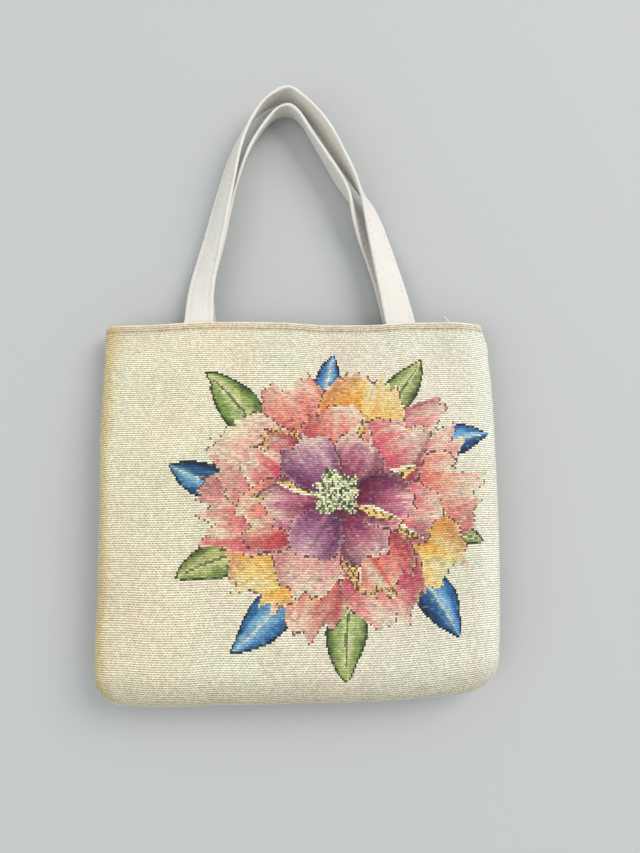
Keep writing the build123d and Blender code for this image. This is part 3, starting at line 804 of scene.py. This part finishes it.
# the right side band painted lighter and cooler: painted light where it faces the lamp
lit_right_band = ramp(20, 5, inset) * (xc > 0)
tone = np.stack([1 - 0.08 * left_shade_and_yellowing + 0.045 * lit_right_band, 1 - 0.13 * left_shade_and_yellowing + 0.060 * lit_right_band, 1 - 0.26 * left_shade_and_yellowing + 0.085 * lit_right_band], axis=2)
patch = noise(xc / 34, yc / 30, 62)                       # broad, faint greenish and pinkish patches
bleach = noise(xc / 22, yc / 19, 63)
tone *= 1 + patch[..., None] * np.array([0.016, -0.010, -0.006]) + bleach[..., None] * np.array([0.022, 0.024, 0.030])
band = ramp(6.2, 5.0, YT - yc)                            # the hem above its stitching, painted darker as shade where it rolls away from the light
# cooler tone towards the right: painted light of the lit side
cool = ramp(-110, 120, xc)
tone *= np.stack([1.0 - 0.020 * cool, 1.0 - 0.008 * cool, 1.0 + 0.035 * cool], axis=2)
# painted shade in the groove of the hem stitching, in dashes along the stitches
tone *= 1 - (0.13 * bell(YT - yc, 5.4, 0.8) * (0.75 + 0.25 * np.sign(np.sin(xc / 1.55 * math.pi))))[..., None] * np.array([0.9, 1.0, 1.1])
# painted highlight along the fold at the rim
tone *= 1 + (0.07 * bell(YT - yc, 0.3, 0.8))[..., None]
# uneven painted shade over the hem band
hem_shade_unevenness = (0.5 + 0.5 * noise(xc / 5.5, yc / 2.0, 64))[..., None]
tone *= 1 - band[..., None] * (np.array([0.030, 0.045, 0.060]) + hem_shade_unevenness * np.array([0.055, 0.075, 0.080]))
# painted shade towards the bottom, where the cloth rolls under
low = ramp(-96, -119, yc)
tone *= 1 - low[..., None] * np.array([0.12, 0.13, 0.15])
cell = cell * tone
rr = np.random.default_rng(5)
# between the ribs: painted shade in the grooves, broken into dashes where the warp shows in turn, every other crossing,
# shifted from row to row
turn = ((np.arange(NX - 1)[:, None] + np.arange(RIBS + 1)[None, :]) % 2).astype(float)
dash = np.clip(turn * 0.52 + 0.66 * rr.uniform(0, 1, (NX - 1, RIBS + 1)) - 0.08, 0, 1)
groove = 0.835 - 0.36 * dash                               # painted shade between the ribs
# painted highlight on the rib tops, uneven from cell to cell
peak = 1.12 + 0.17 * (rr.uniform(0, 1, (NX - 1, RIBS)) - 0.5)
warm = np.array([1.02, 0.985, 0.90])
quads_v = NY - 1 + turned.shape[1]
colours = np.ones((NX - 1, quads_v, 4, 3))
for j in range(NY - 1):
    r = j // 2
    c = cell[:, r]
    on = weave.on[:, r][:, None]
    hi = c * peak[:, r][:, None]
    g_low, g_up = groove[:, r][:, None], groove[:, r + 1][:, None]
    lo_dark = c * (g_low + (1 - g_low) * 0.25 * on) * warm
    up_dark = c * (g_up + (1 - g_up) * 0.25 * on) * warm
    if j % 2 == 0:
        colours[:, j, 0], colours[:, j, 1], colours[:, j, 2], colours[:, j, 3] = lo_dark, lo_dark, hi, hi
    else:
        colours[:, j, 0], colours[:, j, 1], colours[:, j, 2], colours[:, j, 3] = hi, hi, up_dark, up_dark
# the turned rim: the first rows over the fold painted lighter as a highlight, the rows running down inside a little
# darker as shade
for j in range(NY - 1, quads_v):
    colours[:, j] = (cell[:, -1] * 1.20 if j < NY + 2 else cell[:, -1] * 0.95)[:, None, :]
c8 = np.clip(colours, 0, 255) / 255.0
colours_lin = np.where(c8 <= 0.04045, c8 / 12.92, ((c8 + 0.055) / 1.055) ** 2.4)
fab_v = np.concatenate([np.linspace(0, fabric_up, NY), fabric_up + np.cumsum([0.45, 0.55, 0.6, 0.6, 0.55, 0.45, 4, 6, 7, 7])])
fab_u = np.concatenate([[0], np.cumsum(np.linalg.norm(np.diff(form[:, NY // 2], axis=0), axis=1))])
FU, FV = np.meshgrid(fab_u, fab_v, indexing="ij")
front_cloth = sheet_mesh("front_panel_cloth", cloth_all, np.stack([FU, FV, np.zeros_like(FU)], axis=2), colours_lin)
resting(paint(front_cloth, MAT_FRONT), "bag_front", "tapestry", "front_panel")


def form_at(x, y):
    """Height and normal of the front's smooth face at a place in plan."""
    k = np.unravel_index(np.argmin((form[..., 0] - x) ** 2 + (form[..., 1] - y) ** 2), form.shape[:2])
    return form[k][2], normal[k]


# ---- the front's hem stitching, with one loose end of thread over the rim ----
row_at = int(np.argmin(np.abs((YT - 5.2) - yn)))
line = form[6:-6:2, row_at]
loose = np.array([(98.4, 119.0, 18.0), (97.9, 120.3, 18.7), (97.1, 121.6, 19.0), (96.2, 122.6, 19.0), (95.2, 123.5, 18.8)])
o = stitches("front_hem_topstitch", [(line, normal[6:-6:2, row_at])], 2.3, 3.1, 0.22, 0.14, 0.4)
resting(paint(o, MAT_HEMTHREAD), "bag_front", "thread", "front_hem_stitching")
pts, _ = catmull(np.column_stack([loose, np.zeros(len(loose))]), 14)
tube_v = []
for k, p in enumerate(pts[:, :3]):
    t = unit(pts[min(k + 1, 13), :3] - pts[max(k - 1, 0), :3])
    a1 = unit(np.cross(t, (0, 0, 1.0)))
    a2 = np.cross(t, a1)
    for q in range(6):
        w6 = q / 6 * 2 * math.pi
        tube_v.append(p + (a1 * math.cos(w6) + a2 * math.sin(w6)) * 0.3 * (1 if 0 < k < 13 else 0.5))
o = mesh_from("front_hem_loose_thread", tube_v, grid_quads(14, 6, closed_v=True), np.array(tube_v))
resting(paint(o, MAT_THREAD), "bag_front", "thread")

# ---- what lies under the front: wadding and lining ----
iu, iv = np.arange(0, NX, 6), np.arange(0, NY, 8)
E = W - np.abs(xn)
cols = np.array([i for i in iu if E[i] > 9])
rows = np.array([j for j in iv if -111 < yn[j] < 92])
pad = form[np.ix_(cols, rows)] - normal[np.ix_(cols, rows)] * 1.30
o = sheet_mesh("front_interlining_wadding", pad, thickness=0.85)
resting(paint(o, MAT_FELT), "bag_front", "interlining", "front_interlining")

cols = np.array([i for i in range(0, NX, 4) if E[i] > 7.5])
rows = np.array([j for j in range(0, NY, 5) if -112 < yn[j] < YT - 1.2])
deep = 2.45 + 2.0 * ramp(86, 94, yn[rows])
lining = form[np.ix_(cols, rows)] - normal[np.ix_(cols, rows)] * deep[None, :, None]
slack = 0.35 * noise(lining[..., 0] / 17, lining[..., 1] / 23, 40) + 0.25 * noise(lining[..., 0] / 8, lining[..., 1] / 15, 41) - 0.4
lining[..., 2] += slack * ramp(98, 80, lining[..., 1])
o = sheet_mesh("front_lining_cloth", lining, thickness=0.45)
resting(paint(o, MAT_LINING), "bag_front", "lining", "front_lining")

# ================================ gussets and bottom ================================
def border(points):
    """Inward directions along the seam line; they never cross at the corners."""
    return np.stack([-points[:, 0] / W, (YT - points[:, 1]) / (YT - YB)], axis=1)


half = [(2.5, 0.00), (1.3, 0.03), (0.85, 0.08), (1.5, 0.13), (4.5, 0.185), (10, 0.265), (16, 0.355), (21, 0.43), (23.4, 0.475)]
SECTION, _ = catmull([(d, k * 12, 0.0) for d, k in half + [(24.0, 0.5)] + [(d, 1 - k) for d, k in half[::-1]]], 61)
SECTION = SECTION[:, :2] / np.array([1, 12.0])


def strip(path, seed, flip):
    """A pleated strip along a stretch of the seam: grid (across the pleat, along the path)."""
    n = border(path)
    along = np.concatenate([[0], np.cumsum(np.linalg.norm(np.diff(path, axis=0), axis=1))])
    sec = SECTION[::-1] if flip else SECTION
    d, k = sec[:, 0][:, None], sec[:, 1][:, None]
    deep = ramp(2, 14, d)
    d = d + deep * (0.55 * noise(along[None, :] / 19, k * 3, seed) + 0.25 * noise(along[None, :] / 6, k * 5, seed + 1)) - 0.5 * deep
    zf, zb = path[:, 2][None, :] - 0.25, 2.45
    z = zb + (zf - zb) * k + deep * ramp(24, 18, d) * 0.35 * noise(along[None, :] / 15, k * 4 + 7, seed + 2)
    return np.stack([path[:, 0][None, :] + n[:, 0][None, :] * d, path[:, 1][None, :] + n[:, 1][None, :] * d, z + 0 * d], axis=2)


def every(points, pitch):
    along = np.concatenate([[0], np.cumsum(np.linalg.norm(np.diff(points, axis=0), axis=1))])
    at = np.linspace(0, along[-1], int(along[-1] / pitch) + 1)
    return np.stack([np.interp(at, along, points[:, k]) for k in range(3)], axis=1)


seam_left, seam_foot, seam_right = every(form[0, :], 1.4), every(form[:, 0], 1.6), every(form[-1, :], 1.4)
# the seam line is the cloth's edge, two millimetres in from the widest place
for name, path, flip, seed in (("left", seam_left, False, 50), ("right", seam_right, True, 60), ("bottom", seam_foot, True, 70)):
    path = path.copy()
    n = border(path)
    path[:, :2] -= n * 2.0
    g = strip(path, seed, flip)
    if name != "bottom":
        shell = np.concatenate([g, turn_over(g, grid_normals(g), 0.75, [3, 6, 9])], axis=1)
    else:
        shell = g
    o = sheet_mesh(f"{name}_gusset_cloth" if name != "bottom" else "bottom_panel_cloth", shell, lengths(shell)[..., [0, 1, 2]])
    paint(o, MAT_PLAIN)
    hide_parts(f"{name}_gusset" if name != "bottom" else "bottom_panel")
    pick = [i for i in range(len(SECTION)) if SECTION[i, 0] > 9.2]
    inner = g[pick] - grid_normals(g)[pick] * 1.0
    inner = inner[:, :-1] if name != "bottom" else inner
    p = sheet_mesh(f"{name}_gusset_lining_cloth" if name != "bottom" else "bottom_panel_lining_cloth", inner[:, ::2], thickness=0.4)
    paint(p, MAT_LINING)
    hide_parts(f"{name}_gusset_lining" if name != "bottom" else "bottom_panel_lining")
    for piece in (o, p):
        if name == "bottom":
            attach(piece, "bag_back")
        else:
            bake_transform(piece)

# ================================ back panel ================================
BCOLS, BRIBS = 96, 166
bx = np.concatenate([-W + np.array([2.0, 0.9, 0.35, 0.5, 1.2, 2.4, 4.2]), np.linspace(-W + 7, W - 7, BCOLS - 14), W - np.array([4.2, 2.4, 1.2, 0.5, 0.35, 0.9, 2.0])])
bxr = np.concatenate([[0.0, 0.16, 0.36, 0.56, 0.78, 0.92, 0.98], np.ones(BCOLS - 14), [0.98, 0.92, 0.78, 0.56, 0.36, 0.16, 0.0]])
by = YB + np.linspace(0, 1, 2 * BRIBS + 1) * (YT - YB)
foot = by - YB
byr = np.interp(foot, [0, 0.7, 1.45, 2.2, 2.9, 4.3, 6.5], [0.0, 0.40, 0.62, 0.78, 0.90, 0.98, 1.0])
by = np.where(foot < 2.2, YB + np.interp(foot, [0, 0.7, 1.45, 2.2], [1.6, 0.75, 1.1, 2.2]), by)
BX, BY = np.meshgrid(bx, by, indexing="ij")
px, py = plan(BX, BY)
lowest = 0.22 + 0.25 * ramp(0.2, 0.9, noise(px / 44, py / 52, 80)) + 0.12 * ramp(0.3, 1.0, noise(px / 19, py / 23, 81))
back = np.stack([px, py, 2.55 + (lowest - 2.55) * np.minimum(np.outer(bxr, np.ones(len(by))), byr[None, :])], axis=2)
nb = grid_normals(back)                                  # upwards; the outer face is below
d = YT - BY
back[..., 2] += 0.28 * bell(d, 5.2, 0.8)
brib = np.where(np.arange(len(by)) % 2 == 1, 0.16, -0.10)
bcloth = back - nb * (brib[None, :] * (1 + 0.25 * noise(px / 9, py / 1.3, 82)))[..., None]
bcloth[..., 2] = np.maximum(bcloth[..., 2], 0.0)
over = turn_over(back, -nb, 1.0, [6, 14, 24, 32])
g = np.concatenate([bcloth, over], axis=1)[::-1]         # reversed, so that the outside faces down
o = sheet_mesh("back_panel_cloth", g, lengths(g))
resting(paint(o, MAT_PLAIN), "bag_back", "tapestry", "back_panel")

row_at = int(np.argmin(np.abs((YT - 5.2) - by)))
line = back[5:-5:2, row_at]
o = stitches("back_hem_topstitch", [(line, -nb[5:-5:2, row_at])], 2.3, 3.1, 0.2, 0.12, 0.4)
resting(paint(o, MAT_HEMTHREAD), "bag_back", "thread", "back_hem_stitching")

cols = np.array([i for i in range(0, len(bx), 2) if W - abs(bx[i]) > 7.5])
rows = np.array([j for j in range(0, len(by), 6) if -112 < by[j] < 92])
pad = back[np.ix_(cols, rows)].copy()
pad[..., 2] = 2.2
o = sheet_mesh("back_interlining_wadding", pad, thickness=0.85)
resting(paint(o, MAT_FELT), "bag_back", "interlining", "back_interlining")

LX, LY = 95.5, np.linspace(-105.5, YT - 1.2, 110)
X, Y = np.meshgrid(np.linspace(-LX, LX, 90), LY, indexing="ij")
Z = 2.9 + 1.75 * ramp(86, 93.5, Y) + (0.22 * noise(X / 21, Y / 31, 90) + 0.12 * noise(X / 8, Y / 13, 91)) * ramp(90, 75, Y) * ramp(72, 90, np.maximum(np.abs(X), np.abs(Y - 2) + 12) + 0 * X)
o = sheet_mesh("back_lining_cloth", np.stack([X, Y, Z], axis=2), thickness=0.45)
resting(paint(o, MAT_LINING), "bag_back", "lining", "back_lining")

# the slip pocket: a turned band along its mouth, edges sewn down on three sides
PW, PH = 60.0, 46.0
u, v = np.linspace(-1, 1, 70), np.linspace(-1, 1, 80)
U, V = np.meshgrid(u, v, indexing="ij")
X, Y = U * PW, 2.0 + V * PH
edge = np.minimum(PW - np.abs(X), np.where(V < 0, PH - np.abs(Y - 2.0), 99))
top = 2.0 + PH - Y
Z = 3.30 + 0.22 * ramp(0.2, 2.5, edge) - 0.16 * bell(edge, 2.4, 0.7) + 0.26 * ramp(12.2, 11.6, top) - 0.12 * bell(top, 10.8, 0.6)
Z += 0.30 * ramp(6, 26, edge) * (0.5 + 0.5 * noise(X / 30, Y / 22, 95)) + 0.25 * ramp(30, 0, top) * ramp(4, 20, edge)
o = sheet_mesh("slip_pocket_cloth", np.stack([X, Y, Z], axis=2), thickness=0.4)
resting(paint(o, MAT_LINING), "bag_back", "lining", "slip_pocket")
zt = 3.42
e = 2.4
path1 = np.array([(-PW + e, 2 + PH - 1, zt), (-PW + e, 2 - PH + e, zt), (PW - e, 2 - PH + e, zt), (PW - e, 2 + PH - 1, zt)])
path2 = np.array([(-PW + 3, 2 + PH - 10.8, zt + 0.2), (PW - 3, 2 + PH - 10.8, zt + 0.2)])
runs = []
for path in (path1[:2], path1[1:3], path1[2:], path2):
    p = every(path, 1.0)
    runs.append((p, np.tile([0, 0, 1.0], (len(p), 1))))
o = stitches("slip_pocket_topstitch", runs, 2.2, 3.0, 0.17, 0.12, 0.35)
resting(paint(o, MAT_HEMTHREAD), "bag_back", "thread")

# ================================ handles ================================
# centre line x, y, z and twist in degrees; the back handle lies inside and under the front one
FRONT_LINE = np.array([
    (-66.0, 121.2, 15.2, 0), (-64.3, 146.2, 14.6, 22.6), (-56.6, 182.1, 14.5, 37.7), (-49.6, 216.4, 15.2, 49.5),
    (-41.4, 248.5, 14.0, 64.0), (-27.8, 273.8, 12.6, 74.0), (-10.2, 285.2, 10.8, 91.0), (2.0, 278.1, 11.3, 95.0),
    (17.2, 259.4, 10.5, 106.0), (31.0, 234.5, 11.5, 97.0), (40.3, 215.5, 14.6, 84.0), (48.1, 197.7, 12.4, 54.0),
    (58.6, 156.6, 15.2, 28.5), (66.6, 121.2, 15.2, 0),
])
BACK_LINE = np.array([
    (-66.0, 121.2, 3.2, 0), (-66.0, 146.2, 6.0, 25.2), (-56.6, 182.2, 7.6, 41.6), (-48.0, 216.2, 8.6, 55.8),
    (-35.4, 246.0, 9.9, 71.0), (-20.4, 268.2, 10.6, 71.0), (-8.3, 273.8, 11.8, 82.0), (0.6, 267.6, 10.4, 82.0),
    (8.6, 253.8, 11.9, 83.0), (23.3, 229.0, 11.0, 91.0), (33.5, 211.5, 11.6, 89.0), (40.8, 194.3, 8.6, 55.0),
    (57.9, 156.2, 5.0, 8.0), (66.6, 121.2, 3.2, 0),
])


def frames_along(pts):
    """Tangent, width and face directions of a strap from its centre line and its twist."""
    t = unit(np.gradient(pts[:, :3], axis=0))
    h = unit(np.cross(np.array([0, 0, 1.0]), t))
    up = np.cross(t, h)
    phi = np.radians(pts[:, 3])[:, None]
    return t, -np.sin(phi) * up + np.cos(phi) * h, np.cos(phi) * up + np.sin(phi) * h


SW, ST = 9.5, 1.3                                        # half width and half thickness of a strap
ROW = 6.45                                               # stitching rows from the middle


def strap(name, line, ends, nodes):
    tail0 = [(line[0, 0], y, ends(line[0, 0], y), 0.0) for y in (96.0, 104.0, 112.0, 118.2)]
    tail1 = [(line[-1, 0], y, ends(line[-1, 0], y), 0.0) for y in (118.2, 112.0, 104.0, 96.0)]
    full = np.vstack([tail0, line, tail1])
    n = 372
    pts, length = catmull(full, n)
    # the turn and the height run on evenly from station to station, held where the strap is sewn in
    far = np.minimum(np.arange(n), np.arange(n)[::-1]) * length / (n - 1)
    free = ramp(34, 52, far)
    kernel = np.exp(-0.5 * (np.arange(-24, 25) / 7.0) ** 2)
    kernel /= kernel.sum()
    for c in (2, 3):
        even = np.convolve(np.pad(pts[:, c], 24, mode="edge"), kernel, mode="valid")
        pts[:, c] += free * (even - pts[:, c])
    t, wide, face = frames_along(pts)
    s = np.linspace(0, length, n)
    inside = ramp(121.8, 119.2, pts[:, 1]) * ramp(30, 22, np.minimum(s, length - s) + 0 * s)
    inside = np.where(np.minimum(s, length - s) < 40, ramp(121.8, 118.8, pts[:, 1]), 0.0)
    # the section: full between the two rows of stitching, a groove at each, a plump roll outside them
    k = 40
    a = np.arange(k) / k * 2 * math.pi
    cu = np.sign(np.cos(a)) * np.abs(np.cos(a)) ** 0.62
    sv = np.sign(np.sin(a)) * np.abs(np.sin(a)) ** 0.34
    U = SW * cu[None, :] * np.ones((n, 1))
    side = np.sign(U)
    S = s[:, None] * np.ones((1, k))
    pucker = np.sin(S / 4.6 * 2 * math.pi + 0.8 * noise(S / 30, side * 3.0, 7) * 2)
    au = np.abs(U)
    prof = 1.0 - 0.34 * bell(au, ROW, 0.85) * (1 + 0.35 * pucker) + 0.10 * bell(au, 8.0, 0.9) * (1 + 0.5 * pucker) + 0.08 * bell(au, 0, 4.5)
    soft = 0.14 * noise(S / 13, U / 5, 11) + 0.10 * noise(S / 4.2, U / 2.6, 12)
    V = ST * sv[None, :] * (prof + soft)
    V = V * (1 - inside[:, None] * 0.40)
    # the edges wander a little, and draw in where the strap is stitched
    U = U * (1 + 0.012 * noise(S / 17, side * 5.0, 13) - 0.008 * pucker * ramp(7.5, 9.5, au))
    # small cross creases where the strap turns over at the top of its loop
    turn_at = length * 0.5
    crease = bell(S, turn_at, 34) * (0.30 * np.sin(S / 3.4 + 1.7 * noise(S / 9, U / 6, 14) * 2 + U * 0.22) + 0.22 * np.sin(S / 7.3 + U * 0.3)) * ramp(9.6, 6, au)
    V = V + crease * np.sign(sv)[None, :] * 0.75
    # the flat cup of the strap's section, and its slight roll from leg to leg
    cup = 0.30 * (U / SW) ** 2 * noise(S / 38, 0.4, 15) * (1 - inside[:, None])
    g = pts[:, None, :3] + wide[:, None, :] * U[..., None] + face[:, None, :] * (V + cup)[..., None]
    around = np.concatenate([[0], np.cumsum(np.hypot(np.diff(SW * cu), np.diff(ST * sv)))])
    fab = np.stack([np.tile(around, (n, 1)), S, np.zeros((n, k))], axis=2)
    quads = np.vstack([grid_quads(n, k, closed_v=True, flip=True)])
    caps = []
    for e, rev in ((0, False), (n - 1, True)):
        b0 = e * k
        for q in range(k // 2 - 1):
            four = [b0 + q, b0 + q + 1, b0 + k - 2 - q, b0 + k - 1 - q]
            if len(set(four)) == 4:
                caps.append(four[::-1] if rev else four)
    quads = np.vstack([quads, caps])
    o = mesh_from(f"{name}_strap_cloth", g.reshape(-1, 3), quads, fab.reshape(-1, 3))
    paint(o, MAT_STRAP)
    pieces = [o]
    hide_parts(nodes[0], nodes[1])
    # filling
    m, kk = 200, 20
    idx = np.linspace(9, n - 10, m).astype(int)
    a = np.arange(kk) / kk * 2 * math.pi
    fu = (SW - 1.1) * np.sign(np.cos(a)) * np.abs(np.cos(a)) ** 0.5
    fv = (ST - 0.80) * np.sign(np.sin(a)) * np.abs(np.sin(a)) ** 0.5
    f = pts[idx, None, :3] + wide[idx, None, :] * fu[None, :, None] + face[idx, None, :] * (fv[None, :] * (1 - 0.4 * inside[idx])[:, None] * (1 + 0.1 * noise(idx[:, None] / 9, a[None, :], 3)))[..., None]
    caps = []
    for e, rev in ((0, False), (m - 1, True)):
        b0 = e * kk
        for q in range(kk // 2 - 1):
            four = [b0 + q, b0 + q + 1, b0 + kk - 2 - q, b0 + kk - 1 - q]
            caps.append(four[::-1] if rev else four)
    p = mesh_from(f"{name}_filling", f.reshape(-1, 3), np.vstack([grid_quads(m, kk, closed_v=True, flip=True), caps]), f.reshape(-1, 3))
    paint(p, MAT_FELT)
    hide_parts(nodes[2])
    pieces.append(p)
    # two rows of stitching, showing on both faces
    runs = []
    lo, hi = int(n * 0.062), int(n * 0.938)
    for sg in (-1, 1):
        for fc in (-1, 1):
            uu = sg * ROW
            vv = ST * 0.86 * fc * (1 - 0.4 * inside[lo:hi])
            cup_l = 0.30 * (uu / SW) ** 2 * noise(s[lo:hi] / 38, 0.4, 15) * (1 - inside[lo:hi])
            runs.append((pts[lo:hi, :3] + wide[lo:hi] * uu + face[lo:hi] * (vv * 0.80 + cup_l)[:, None], face[lo:hi] * fc))
    q = stitches(f"{name}_topstitch", runs, 3.0, 4.6, 0.24, 0.16, 0.5)
    paint(q, MAT_THREAD)
    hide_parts(nodes[3])
    pieces.append(q)
    for piece in pieces:
        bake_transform(piece)
    # the band is a cloth tube pressed flat
    return pts, length


front_strap, front_len = strap("front_handle", FRONT_LINE, lambda x, y: form_at(x, y)[0] - 3.32,
                               ("front_handle_cover", "front_handle_sewn_ends", "front_handle_core", "front_handle_stitching"))
back_strap, back_len = strap("back_handle", BACK_LINE, lambda x, y: 3.40,
                             ("back_handle_cover", "back_handle_sewn_ends", "back_handle_core", "back_handle_stitching"))
print("STRAPS", front_len, back_len, "FRONT FLAT", fab_u[-1], fab_v[-1])

# ================================ floor, light, camera ================================
def area(name, at, to, size, energy, colour=(1, 1, 1)):
    d = bpy.data.lights.new(name, "AREA")
    d.shape, d.size, d.energy, d.color = "SQUARE", size, energy, colour
    o = bpy.data.objects.new(name, d)
    o.location = at
    o.rotation_euler = (Vector(to) - Vector(at)).to_track_quat("-Z", "Y").to_euler()
    bpy.context.scene.collection.objects.link(o)
    return o


fm = bpy.data.meshes.new("floor")
fm.from_pydata([(-3, -3, -0.0004), (3, -3, -0.0004), (3, 3, -0.0004), (-3, 3, -0.0004)], [], [(0, 1, 2, 3)])
floor = bpy.data.objects.new("floor", fm)
bpy.context.scene.collection.objects.link(floor)
m, nt, b = new_material("floor_pale")
b.inputs["Base Color"].default_value = (0.42, 0.43, 0.42, 1)
b.inputs["Roughness"].default_value = 0.9
paint(floor, m)

area("key", (1.75, 1.20, 1.80), (0, 0.03, 0), 1.7, 60.0, (1.0, 0.99, 0.975))
area("fill", (-1.10, -0.55, 1.25), (0, 0.06, 0), 1.6, 11.0, (0.985, 0.99, 1.0))
world = bpy.data.worlds.new("soft_room")
world.use_nodes = True
world.node_tree.nodes["Background"].inputs[0].default_value = (0.93, 0.96, 1.0, 1)
world.node_tree.nodes["Background"].inputs[1].default_value = 0.78
bpy.context.scene.world = world
bpy.context.scene.view_settings.view_transform = "Standard"

cam = bpy.data.cameras.new("camera")
cam.lens, cam.sensor_width, cam.sensor_fit = 27.0, 36.0, "AUTO"
cam.clip_start, cam.clip_end = 0.01, 20
camera = bpy.data.objects.new("camera", cam)
camera.location = (0.0139, 0.0008, 0.425)
camera.rotation_euler = (math.radians(7.1), 0, 0)
bpy.context.scene.collection.objects.link(camera)
bpy.context.scene.camera = camera

bpy.context.view_layer.update()
